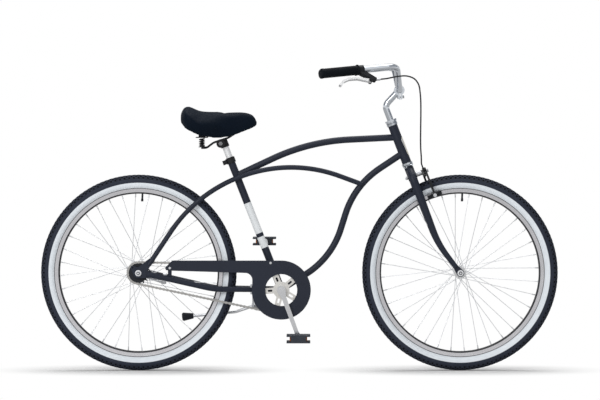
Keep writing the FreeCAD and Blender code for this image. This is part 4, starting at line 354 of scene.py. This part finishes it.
# dark fittings whose nuts, screws or tips are bright past a plane across x (axis 0) or y (axis 1)
fittingLook = {
    "steelDull": (0.55, 0.56, 0.58), "steelPale": (0.74, 0.75, 0.77), "blur": 0.0002, "gloss": 0.25,
    "cloud": (35.0, 4.0), "fine": (1300.0, 2.0), "roughBy": (-0.16, 0.12), "bump": (0.00005, 0.5),
}
fittings = {
    "guardFittings": {"axis": 1, "limit": 0.0518, "rough": 0.42,
                      "dark": paintLook["dark"], "pale": paintLook["pale"]},
    "padRubber": {"axis": 1, "limit": 0.0492, "rough": 0.6,
                  "dark": shade(16, 18, 22), "pale": shade(30, 33, 38)},
    "clampEnamel": {"axis": 1, "limit": 0.0283, "rough": 0.36, "tone": 0.35,
                    "dark": enamelLook["dark"], "pale": enamelLook["pale"]},
    "perchEnamel": {"axis": 0, "limit": 0.2575, "rough": 0.4,
                    "dark": shade(11, 13, 17), "pale": shade(22, 25, 31)},
}


def brightPast(name, axis, limit, dark, pale, rough, tone=1.0):
    coat = Finish(name, {"Specular IOR Level": fittingLook["gloss"]})
    at = coat.place()
    bright = coat.ease(abs(coat.axes(at)[axis]), limit, limit + fittingLook["blur"])
    cloud = coat.noise(at, *fittingLook["cloud"])
    fine = coat.noise(at, *fittingLook["fine"])
    steel = [tuple(part * tone for part in fittingLook[key]) + (1,) for key in ("steelDull", "steelPale")]
    coat.set("Base Color", coat.mix(bright, coat.mix(cloud, dark, pale), coat.mix(cloud, *steel)))
    coat.set("Metallic", bright)
    coat.rough((rough, *fittingLook["roughBy"]), bright, cloud)
    coat.bump(fine, *fittingLook["bump"])
    return coat.made


# soft rubber and moulded plastic
mouldLook = {
    "gloss": 0.12, "cloud": (30.0, 3.0), "poreDetail": (3.0, 0.6), "roughByPores": 0.12, "strength": 0.6,
}
mouldings = {
    "gripRubber": {"dark": shade(4, 8, 14), "pale": shade(10, 16, 24), "rough": 0.6},
    "blackRubber": {"dark": shade(24, 26, 31), "pale": shade(40, 43, 49), "rough": 0.62},
    "panPlastic": {"dark": shade(20, 22, 26), "pale": shade(34, 36, 41), "rough": 0.5, "grain": 700.0},
    "cableCover": {"dark": shade(20, 21, 25), "pale": shade(34, 36, 41), "rough": 0.38, "grain": 1500.0,
                   "depth": 0.00003},
}


def moulded(name, dark, pale, rough, grain=1200.0, depth=0.00008):
    skin = Finish(name, {"Specular IOR Level": mouldLook["gloss"]})
    at = skin.place()
    cloud = skin.noise(at, *mouldLook["cloud"])
    pores = skin.noise(at, grain, *mouldLook["poreDetail"])
    skin.set("Base Color", skin.mix(cloud, dark, pale))
    skin.rough((rough, mouldLook["roughByPores"]), pores)
    skin.bump(pores, depth, mouldLook["strength"])
    return skin.made


# pedal: black moulding with amber reflectors set in its ends, with painted shade in the pits of their
# facets
pedalLook = {
    "reach": 0.0235, "height": 0.0067, "half": 0.0335, "gloss": 0.3, "facets": 420.0, "facetDepth": 3.0,
    "amber": shade(214, 128, 40), "deep": shade(160, 82, 22),
    "dark": shade(38, 42, 50), "pale": shade(58, 63, 72),
    "pores": (1300.0, 3.0), "cloud": (40.0, 3.0), "rough": (0.5, -0.36, 0.1), "bump": (0.0001, 0.6),
}


def pedalPlastic(name, centre):
    skin = Finish(name, {"Specular IOR Level": pedalLook["gloss"]})
    at = skin.place(centre)
    x, y, z = skin.axes(at)
    lens = (abs(x) > pedalLook["reach"]) * (abs(z) < pedalLook["height"])
    lens = lens * (abs(y) < pedalLook["half"])
    facet = skin.node("TexVoronoi", {"feature": "F1", "distance": "CHEBYCHEV"},
                      {"Vector": at, "Scale": pedalLook["facets"]})
    pores = skin.noise(at, *pedalLook["pores"])
    cloud = skin.noise(at, *pedalLook["cloud"])
    black = skin.mix(cloud, pedalLook["dark"], pedalLook["pale"])
    # painted shade: each facet of the reflector is darker towards its pit
    amber = skin.mix(facet, pedalLook["deep"], pedalLook["amber"])
    skin.set("Base Color", skin.mix(lens, black, amber))
    skin.rough(pedalLook["rough"], lens, pores)
    skin.bump(pores * (1 - lens) + facet * lens * pedalLook["facetDepth"], *pedalLook["bump"])
    return skin.made


# grained cover of the saddle, with painted shade in the creases of its grain
coverLook = {
    "dark": shade(3, 10, 20), "pale": shade(11, 24, 39), "gloss": 0.08,
    "cells": 520.0, "crease": 0.16, "cloud": (22.0, 4.0), "pores": (1400.0, 2.0), "poreDepth": 0.2,
    "paleByCloud": 0.35, "creaseShade": 0.5, "rough": (0.5, 0.16, 0.06), "bump": (0.00018, 0.55),
}


def grainedCover(name):
    skin = Finish(name, {"Specular IOR Level": coverLook["gloss"]})
    at = skin.place()
    cells = skin.node("TexVoronoi", {"feature": "DISTANCE_TO_EDGE"},
                      {"Vector": at, "Scale": coverLook["cells"]})
    crease = skin.ease(cells, 0.0, coverLook["crease"])
    cloud = skin.noise(at, *coverLook["cloud"])
    pores = skin.noise(at, *coverLook["pores"])
    # painted shade: darker in the creases of the grain, paler on the cells between them
    mask = coverLook["paleByCloud"] * cloud + coverLook["creaseShade"] * crease
    skin.set("Base Color", skin.mix(mask, coverLook["dark"], coverLook["pale"]))
    skin.rough(coverLook["rough"], 1 - crease, pores)
    skin.bump(crease + coverLook["poreDepth"] * pores, *coverLook["bump"])
    return skin.made


# blank enamel plate on the head tube, with a bright edge
badgeLook = {
    "dark": shade(222, 216, 200), "pale": shade(236, 231, 217), "rim": (0.7, 0.7, 0.7, 1),
    "rimFrom": 0.0094, "rimTo": 0.0102, "coat": 0.5, "coatRough": 0.1,
    "cloud": (60.0, 3.0), "rough": (0.28, 0.1), "bump": (0.00003, 0.3),
}


def badgeEnamel(name):
    low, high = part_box("head_badge")
    plate = Finish(name, {"Coat Weight": badgeLook["coat"], "Coat Roughness": badgeLook["coatRough"]})
    at = plate.place((low + high) / 2)
    across = plate.axes(at)[1]
    cloud = plate.noise(at, *badgeLook["cloud"])
    edge = plate.ease(abs(across), badgeLook["rimFrom"], badgeLook["rimTo"])
    enamel = plate.mix(cloud, badgeLook["dark"], badgeLook["pale"])
    plate.set("Base Color", plate.mix(edge, enamel, badgeLook["rim"]))
    plate.set("Metallic", edge)
    plate.rough(badgeLook["rough"], cloud)
    plate.bump(cloud, *badgeLook["bump"])
    return plate.made


looks = {
    "slatePaint": slatePaint("slatePaint"),
    "bandedPaint": slatePaint("bandedPaint", seatBands),
    "blackEnamel": blackEnamel("blackEnamel"),
    "saddleCover": grainedCover("saddleCover"),
    "badgeEnamel": badgeEnamel("badgeEnamel"),
}
for make, kinds in ((plated, metals), (brightPast, fittings), (moulded, mouldings)):
    for name, look in kinds.items():
        looks[name] = make(name, **look)
for end, axle in (("front", frontAxle), ("rear", rearAxle)):
    looks[end + "Tyre"] = tyreRubber(end + "Tyre", axle)
    looks[end + "Nuts"] = axleNuts(end + "Nuts", axle)
    looks[end + "Rim"] = rimMetal(end + "Rim", axle)
for side in ("left", "right"):
    low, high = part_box("pedal_" + side)
    looks[side + "Pedal"] = pedalPlastic(side + "Pedal", (low + high) / 2)

# the CAD nodes that wear each look
wears = {
    "slatePaint": ["head_tube", "top_tube", "down_tube", "bottom_bracket_shell", "cantilever_bars",
                   "chain_stays", "rear_dropouts", "chain_guard", "fork_steerer", "fork_blades"],
    "bandedPaint": ["seat_tube"],
    "chrome": ["headset_cups", "headset_nuts", "quill_stem", "handlebar"],
    "satinAlloy": ["front_hub", "rear_hub", "brake_lever"],
    "blastedAlloy": ["seat_post"],
    "polishedCrank": ["crank_arms"],
    "pressedSpider": ["chainring"],
    "spokeWire": ["front_spokes", "rear_spokes"],
    "zincSteel": ["bottom_bracket_cups", "frame_bearings", "kickstand_bracket", "coaster_brake_arm",
                  "caliper_bolt", "stem_bolts", "crank_spindle", "pedal_spindles", "kickstand_leg"],
    "chainSteel": ["chain"],
    "darkSprocket": ["rear_sprocket"],
    "blackEnamel": ["seat_clamp", "saddle_rails", "saddle_springs", "caliper_arm_left",
                    "caliper_arm_right"],
    "guardFittings": ["chain_guard_brackets"],
    "padRubber": ["brake_pad_left", "brake_pad_right"],
    "clampEnamel": ["saddle_clamp"],
    "perchEnamel": ["brake_perch"],
    "gripRubber": ["handlebar_grips"],
    "blackRubber": ["kickstand_foot", "front_inner_tube", "rear_inner_tube"],
    "panPlastic": ["saddle_pan"],
    "cableCover": ["brake_cable"],
    "saddleCover": ["saddle_cushion"],
    "badgeEnamel": ["head_badge"],
    "frontTyre": ["front_tyre"],
    "rearTyre": ["rear_tyre"],
    "frontNuts": ["front_axle_set"],
    "rearNuts": ["rear_axle_set"],
    "frontRim": ["front_rim"],
    "rearRim": ["rear_rim"],
    "leftPedal": ["pedal_left"],
    "rightPedal": ["pedal_right"],
}
for look, names in wears.items():
    for name in names:
        for slot in nodes[name].material_slots:
            slot.material = looks[look]
print("finishes:", len(looks))


def piece(name, shape, look):
    mesh = bpy.data.meshes.new(name)
    shape.to_mesh(mesh)
    shape.free()
    mesh.materials.append(look)
    made = bpy.data.objects.new(name, mesh)
    bpy.context.collection.objects.link(made)
    return made


def soften(shape):
    for face in shape.faces:
        face.smooth = True


def everything(shape):
    return shape.verts[:] + shape.edges[:] + shape.faces[:]


def onlyVerts(geom):
    return [part for part in geom if isinstance(part, bmesh.types.BMVert)]


def edgesOf(verts):
    return list({edge for vert in verts for edge in vert.link_edges})


def closeEnds(shape):
    bmesh.ops.holes_fill(shape, edges=[edge for edge in shape.edges if edge.is_boundary], sides=0)
    bmesh.ops.recalc_face_normals(shape, faces=shape.faces)


def turned(degrees, axis):
    return Matrix.Rotation(math.radians(degrees), 3, axis)


# a line of points (reach from the axis, place along it), turned about Z
def turnedRing(shape, steps, count):
    line = [shape.verts.new((reach, 0, along)) for reach, along in steps]
    edges = [shape.edges.new((a, b)) for a, b in zip(line, line[1:])]
    bmesh.ops.spin(shape, geom=line + edges, cent=(0, 0, 0), axis=(0, 0, 1), angle=2 * math.pi,
                   steps=count, use_merge=True)
    bmesh.ops.remove_doubles(shape, verts=shape.verts, dist=0.00001)
    bmesh.ops.recalc_face_normals(shape, faces=shape.faces)


# tyres: carcass with raised tread blocks, in rows on both sides of the middle one;
# arcStep, shoulder, fade and rowTurn are degrees round the tyre's section
tread = {
    "middle": 0.305, "half": 0.027, "groove": 0.0026, "steps": 192,
    "arcStep": 6, "arcSteps": 15, "shoulder": 62, "fade": 8,
    "bead": [(0.2815, -0.0128), (0.286, -0.0129), (0.2885, -0.0178), (0.2925, -0.0225), (0.2985, -0.0258)],
    "length": 0.0104, "width": 0.0062, "sink": 0.0008, "edge": 0.0007,
    "rows": 3, "rowTurn": 17.0, "doublings": 7,
}


def treadBlocks():
    shape = bmesh.new()
    pitch = 2 * math.pi / 2 ** tread["doublings"]
    height = tread["groove"] + tread["sink"]
    middle = tread["half"] - height / 2
    bmesh.ops.create_cube(shape, size=1.0)
    bmesh.ops.scale(shape, vec=(height, tread["length"], tread["width"]), verts=shape.verts)
    bmesh.ops.translate(shape, vec=(middle, 0, 0), verts=shape.verts)
    rim = [edge for edge in shape.edges if all(vert.co.x > middle for vert in edge.verts)]
    bmesh.ops.bevel(shape, geom=rim, offset=tread["edge"], affect="EDGES", segments=1, profile=0.5,
                    material=-1)
    block = everything(shape)
    outwards = Matrix.Translation((tread["middle"], 0, 0))
    for row in range(-tread["rows"], tread["rows"] + 1):
        verts = onlyVerts(bmesh.ops.duplicate(shape, geom=block)["geom"])
        lean = Matrix.Rotation(-math.radians(row * tread["rowTurn"]), 4, "Y")
        stagger = Matrix.Rotation(pitch / 2 * (row % 2), 4, "Z")
        bmesh.ops.transform(shape, matrix=stagger @ outwards @ lean, verts=verts)
    bmesh.ops.delete(shape, geom=onlyVerts(block), context="VERTS")
    # each pass copies all that is there, so the rows close round the tyre
    for count in range(tread["doublings"]):
        verts = onlyVerts(bmesh.ops.duplicate(shape, geom=everything(shape))["geom"])
        turn = Matrix.Rotation(pitch * 2 ** count, 3, "Z")
        bmesh.ops.rotate(shape, cent=(0, 0, 0), matrix=turn, verts=verts)
    mesh = bpy.data.meshes.new("treadBlocks")
    shape.to_mesh(mesh)
    shape.free()
    return mesh


def treadedTyre(blocks, name, axle, look, body, node):
    shape = bmesh.new()
    steps = tread["bead"][:]
    for i in range(-tread["arcSteps"], tread["arcSteps"] + 1):
        turn = tread["arcStep"] * i
        drop = min(max((tread["shoulder"] - abs(turn)) / tread["fade"], 0.0), 1.0)
        reach = tread["half"] - tread["groove"] * drop
        turn = math.radians(turn)
        steps.append((tread["middle"] + reach * math.cos(turn), reach * math.sin(turn)))
    steps += [(reach, -along) for reach, along in reversed(tread["bead"])]
    steps.append(steps[0])
    turnedRing(shape, steps, tread["steps"])
    soften(shape)
    shape.from_mesh(blocks)
    bmesh.ops.rotate(shape, cent=(0, 0, 0), matrix=turned(90, "X"), verts=shape.verts)
    bmesh.ops.translate(shape, vec=axle, verts=shape.verts)
    made = piece(name, shape, look)
    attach(made, body)
    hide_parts(node)
    print(name, len(made.data.polygons), "faces")


blocks = treadBlocks()
treadedTyre(blocks, "frontTread", frontAxle, looks["frontTyre"], "front_wheel", "front_tyre")
treadedTyre(blocks, "rearTread", rearAxle, looks["rearTyre"], "rear_wheel", "rear_tyre")
bpy.data.meshes.remove(blocks)


# ribbed rubber grips, from the closed end of the right one to its flange; a rib's run is where its
# top, slope and floor end, and the flange's foot is three places before the end
gripShape = {
    "end": Vector((0.070103, -0.315, 1.005624)), "aim": Vector((0.914513, 0.394496, 0.089658)),
    "length": 0.137, "reach": 0.0155, "bore": 0.0112, "capDepth": 0.004, "sides": 40,
    "cap": [(0, 0), (0.0095, 0.0002), (0.0138, 0.0009), (0.0159, 0.0028), (0.0164, 0.006),
            (0.0164, 0.0105)],
    "rib": 0.0005, "pitch": 0.0034, "ribFrom": 0.013, "ribStop": 0.0085,
    "ribRun": (0.0022, 0.0026, 0.003),
    "flange": 0.018, "flangeEdge": 0.0006, "flangeFoot": (0.006, 0.0045, 0.0036),
}


def gripOutline():
    reach, length, bore = gripShape["reach"], gripShape["length"], gripShape["bore"]
    valley = reach - gripShape["rib"]
    top, slope, floor = gripShape["ribRun"]
    steps = gripShape["cap"][:]
    along = gripShape["ribFrom"]
    while along < length - gripShape["ribStop"]:
        steps += [(reach, along), (reach, along + top), (valley, along + slope), (valley, along + floor)]
        along += gripShape["pitch"]
    flange, edge = gripShape["flange"], gripShape["flangeEdge"]
    foot, rise, face = gripShape["flangeFoot"]
    steps += [(reach, length - foot), (flange - edge, length - rise), (flange, length - face)]
    steps += [(flange, length - edge), (flange - edge, length), (bore, length)]
    return steps + [(bore, gripShape["capDepth"]), (0, gripShape["capDepth"])]


def rubberGrips():
    shape = bmesh.new()
    turnedRing(shape, gripOutline(), gripShape["sides"])
    soften(shape)
    turn = gripShape["aim"].to_track_quat("Z", "Y").to_matrix().to_4x4()
    bmesh.ops.transform(shape, matrix=Matrix.Translation(gripShape["end"]) @ turn, verts=shape.verts)
    bmesh.ops.mirror(shape, geom=everything(shape), axis="Y", merge_dist=-1)
    bmesh.ops.recalc_face_normals(shape, faces=shape.faces)
    made = piece("rubberGrips", shape, looks["gripRubber"])
    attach(made, "steering")
    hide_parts("handlebar_grips")


rubberGrips()
print("grips made")


# padded saddle; a station is distance behind the nose, half width, top and lower edge above the clamp
saddle = {
    "nose": 0.123, "fine": 5, "shrink": 0.002,
    "stations": [
        (0.0, 0.010, 0.074, 0.061), (0.014, 0.024, 0.097, 0.053), (0.042, 0.031, 0.107, 0.042),
        (0.080, 0.037, 0.1075, 0.0275), (0.120, 0.054, 0.1055, 0.0195), (0.158, 0.084, 0.1045, 0.0205),
        (0.194, 0.108, 0.1075, 0.028), (0.222, 0.115, 0.119, 0.041), (0.242, 0.106, 0.126, 0.052),
        (0.257, 0.080, 0.103, 0.072),
    ],
    "skirt": math.tan(math.radians(14)), "mostSkirt": 0.25, "hem": 0.0085, "leastHem": 0.35,
    "recess": 0.010, "mostRecess": 0.4, "belly": 0.45, "skirtParts": (0.75, 0.5, 0.25),
    "crown": 0.58, "crownTurns": (0, 14, 28, 42, 56, 70, 80),
    "voxel": 0.0042, "heldBelow": 0.016, "heldFacing": -0.4,
    "pressure": 4.0, "quality": 5, "frames": 20, "swell": 0.005, "smoothPasses": 3, "smooth": 0.4,
}


def edgeAt(back):
    rows = saddle["stations"]
    for first, last in zip(rows, rows[1:]):
        if back <= last[0]:
            part = max(back - first[0], 0) / (last[0] - first[0])
            return first[3] + (last[3] - first[3]) * part
    return rows[-1][3]


# more rows on smooth lines through the stations
def saddleRows():
    rows = [Vector(station) for station in saddle["stations"]]
    ends = [rows[0]] + rows + [rows[-1]]
    made = []
    for before, first, last, after in zip(ends, ends[1:], ends[2:], ends[3:]):
        for i in range(saddle["fine"]):
            t = i / saddle["fine"]
            bend = (2 * before - 5 * first + 4 * last - after) * t ** 2
            twist = (3 * first - before - 3 * last + after) * t ** 3
            made.append((2 * first + (last - before) * t + bend + twist) / 2)
    return made + [rows[-1]]


def saddleRing(shape, station):
    back, half, top, edge = station
    half -= saddle["shrink"]
    top -= saddle["shrink"]
    foot = half - min((top - edge) * saddle["skirt"], half * saddle["mostSkirt"])
    inner = max(foot - saddle["hem"], foot * saddle["leastHem"])
    roof = edge + min(saddle["recess"], (top - edge) * saddle["mostRecess"])
    belly = edge + (top - edge) * saddle["belly"]
    side = [(inner, roof), (inner, edge), (foot, edge)]
    for part in saddle["skirtParts"]:
        side.append((half - (half - foot) * part ** 2, belly + (edge - belly) * part))
    for turn in saddle["crownTurns"]:
        turn = math.radians(turn)
        side.append((half * math.cos(turn) ** saddle["crown"], belly + (top - belly) * math.sin(turn)))
    steps = [(0, roof)] + side + [(0, top)] + [(-y, z) for y, z in reversed(side)]
    clamp = spot["saddle_tilt"]
    ring = bmesh.ops.create_circle(shape, segments=len(steps), radius=0.01)["verts"]
    for vert, (y, z) in zip(ring, steps):
        vert.co = (clamp.x + saddle["nose"] - back, y, clamp.z + z)
    return edgesOf(ring)


def evaluated(made):
    return bpy.data.meshes.new_from_object(made.evaluated_get(bpy.context.evaluated_depsgraph_get()))


# the cover before it is filled, in even small faces
def saddleForm():
    shape = bmesh.new()
    rings = [saddleRing(shape, station) for station in saddleRows()]
    for first, last in zip(rings, rings[1:]):
        bmesh.ops.bridge_loops(shape, edges=first + last)
    closeEnds(shape)
    rough = piece("saddleForm", shape, looks["saddleCover"])
    voxels = rough.modifiers.new("voxels", "REMESH")
    voxels.mode = "VOXEL"
    voxels.voxel_size = saddle["voxel"]
    mesh = evaluated(rough)
    bpy.data.objects.remove(rough)
    return mesh


# where each point goes when the cover is blown up, with its skirt and underside held
def filled(mesh):
    form = bpy.data.objects.new("saddleForm", mesh)
    bpy.context.collection.objects.link(form)
    clamp = spot["saddle_tilt"]
    held = form.vertex_groups.new(name="held")
    for vert in mesh.vertices:
        above = vert.co.z - clamp.z - edgeAt(clamp.x + saddle["nose"] - vert.co.x)
        if above < saddle["heldBelow"] or vert.normal.z < saddle["heldFacing"]:
            held.add([vert.index], 1.0, "REPLACE")
    cloth = form.modifiers.new("cloth", "CLOTH")
    cloth.settings.quality = saddle["quality"]
    cloth.settings.vertex_group_mass = "held"
    cloth.settings.use_pressure = True
    cloth.settings.uniform_pressure_force = saddle["pressure"]
    cloth.settings.effector_weights.gravity = 0.0
    for count in range(1, saddle["frames"] + 1):
        bpy.context.scene.frame_set(count)
    moved = [vert.co.copy() for vert in evaluated(form).vertices]
    bpy.context.scene.frame_set(1)
    bpy.data.objects.remove(form)
    return moved


def paddedSaddle():
    mesh = saddleForm()
    cover = bmesh.new()
    cover.from_mesh(mesh)
    for vert, place in zip(cover.verts, filled(mesh)):
        shift = place - vert.co
        vert.co += shift * min(1.0, saddle["swell"] / max(shift.length, 1e-6))
    for count in range(saddle["smoothPasses"]):
        bmesh.ops.smooth_vert(cover, verts=cover.verts, factor=saddle["smooth"],
                              use_axis_x=True, use_axis_y=True, use_axis_z=True)
    bmesh.ops.recalc_face_normals(cover, faces=cover.faces)
    soften(cover)
    made = piece("paddedSaddle", cover, looks["saddleCover"])
    finer = made.modifiers.new("finer", "SUBSURF")
    finer.levels = finer.render_levels = 1
    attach(made, "saddle")
    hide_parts("saddle_cushion")
    print("saddle:", len(made.data.polygons), "faces")


paddedSaddle()


# coil springs under the saddle
coil = {
    "radius": 0.008, "wire": 0.0015, "turns": 4, "pitch": 0.0062, "steps": 40, "sides": 10, "lift": 0.0002,
}


def coilSprings():
    low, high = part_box("saddle_springs")
    shape = bmesh.new()
    for side in (1, -1):
        centre = Vector(((low.x + high.x) / 2, side * (high.y - coil["radius"] - coil["wire"]), 0))
        foot = centre + Vector((coil["radius"], 0, low.z + coil["wire"] + coil["lift"]))
        upright = Matrix.Translation(foot) @ Matrix.Rotation(math.radians(90), 4, "X")
        ring = bmesh.ops.create_circle(shape, segments=coil["sides"], radius=coil["wire"],
                                       matrix=upright)["verts"]
        bmesh.ops.spin(shape, geom=ring + edgesOf(ring), cent=centre, axis=(0, 0, 1),
                       dvec=(0, 0, coil["pitch"] / coil["steps"]), angle=2 * math.pi * coil["turns"],
                       steps=coil["turns"] * coil["steps"], use_merge=False)
    closeEnds(shape)
    soften(shape)
    made = piece("coilSprings", shape, looks["blackEnamel"])
    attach(made, "saddle")
    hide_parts("saddle_springs")


coilSprings()
print("springs made")


def aimed(name, kind, at, to):
    made = bpy.data.objects.new(name, kind)
    made.location = at
    made.rotation_euler = (Vector(to) - Vector(at)).to_track_quat("-Z", "Y").to_euler()
    bpy.context.collection.objects.link(made)
    return made


# camera at the photograph's place
view = {
    "from": (0.002, -14.0, 0.95), "to": (0.002, 0.0, 0.578),
    "lens": 247.6, "sensor": 36.0, "far": 200.0,
}
lens = bpy.data.cameras.new("camera")
lens.lens = view["lens"]
lens.sensor_width = view["sensor"]
lens.sensor_fit = "HORIZONTAL"
lens.clip_end = view["far"]
bpy.context.scene.camera = aimed("camera", lens, view["from"], view["to"])

# floor, which turns to white away from the two places where the tyres stand
studio = {
    "floor": (0.78, 0.78, 0.78, 1), "floorPale": (0.79, 0.79, 0.79, 1), "cloud": (3.0, 2.0),
    "size": 60.0, "drop": 0.0003, "gloss": 0.1, "rough": 0.9, "glossFloor": 0.4,
    "shadowFade": (0.1, 0.34), "shadowStretch": 0.6, "sky": 0.5,
}
shape = bmesh.new()
bmesh.ops.create_grid(shape, x_segments=2, y_segments=2, size=studio["size"],
                      matrix=Matrix.Translation((0, 0, -studio["drop"])))
ground = Finish("studioFloor", {"Specular IOR Level": studio["gloss"], "Roughness": studio["rough"]})
at = ground.place()
x, y, _ = ground.axes(at)
near = [((x - axle.x) * studio["shadowStretch"]) ** 2.0 + y * y for axle in (frontAxle, rearAxle)]
away = ground.ease(x.maths("MINIMUM", *near) ** 0.5, *studio["shadowFade"])
cloud = ground.noise(at, *studio["cloud"])
ground.set("Base Color", ground.mix(cloud, studio["floor"], studio["floorPale"]))
seen = ground.node("LightPath", out="Is Camera Ray")
glossy = ground.node("LightPath", out="Is Glossy Ray")
both = seen.maths("MAXIMUM", seen, glossy)
glow = 1 - studio["glossFloor"] * glossy
plain = Socket(ground.tree, ground.shader.outputs[0])
white = ground.node("Emission", None, {"Color": (1, 1, 1, 1), "Strength": glow})
ground.show(ground.node("MixShader", None, {0: away * both, 1: plain, 2: white}))
floor = piece("studioFloor", shape, ground.made)

# white surround, dimmer where it only lights the object
world = bpy.data.worlds.new("studio")
bpy.context.scene.world = world
world.use_nodes = True
sky = Nodes(world.node_tree)
back = sky.tree.nodes["Background"]
shown = sky.node("LightPath", out="Is Camera Ray")
for ray in ("Is Glossy Ray", "Is Transmission Ray"):
    shown = shown.maths("MAXIMUM", shown, sky.node("LightPath", out=ray))
feed(sky.tree, back.inputs["Color"], (1, 1, 1, 1))
feed(sky.tree, back.inputs["Strength"], shown * (1 - studio["sky"]) + studio["sky"])

# soft lamps above and in front
lamps = {
    "topLight": {"at": (0.2, 0.9, 4.2), "to": (0, 0, 0.3), "size": (3.6, 2.4), "power": 80.0},
    "frontLight": {"at": (-2.5, -5.5, 3.0), "to": (0, 0, 0.5), "size": (2.6, 2.2), "power": 150.0},
}
for name, box in lamps.items():
    lamp = bpy.data.lights.new(name, "AREA")
    lamp.shape = "RECTANGLE"
    lamp.size, lamp.size_y = box["size"]
    lamp.energy = box["power"]
    aimed(name, lamp, box["at"], box["to"]).visible_camera = False

# grey cards on all four sides, which only polished and glossy surfaces see
cardShape = {"half": (13.0, 8.0, 1.0), "away": (0, 17.0, 12.2), "tint": (1, 1.05, 1.14)}
cardSets = {
    "longCards": {"tone": 0.17, "turns": (0, 180)},
    "endCards": {"tone": 0.3, "turns": (90, 270)},
}
for name, cardSet in cardSets.items():
    dim = Finish(name)
    grey = tuple(cardSet["tone"] * part for part in cardShape["tint"]) + (1,)
    dim.show(dim.node("Emission", None, {"Color": grey, "Strength": 1.0}))
    shape = bmesh.new()
    for turn in cardSet["turns"]:
        card = bmesh.ops.create_grid(shape, x_segments=1, y_segments=1, size=1.0)["verts"]
        bmesh.ops.scale(shape, vec=cardShape["half"], verts=card)
        bmesh.ops.rotate(shape, cent=(0, 0, 0), matrix=turned(90, "X"), verts=card)
        bmesh.ops.translate(shape, vec=cardShape["away"], verts=card)
        bmesh.ops.rotate(shape, cent=(0, 0, 0), matrix=turned(turn, "Z"), verts=card)
    cards = piece(name, shape, dim.made)
    cards.visible_camera = cards.visible_diffuse = cards.visible_shadow = cards.visible_transmission = False

bpy.context.scene.view_settings.view_transform = "Standard"
print("studio ready")
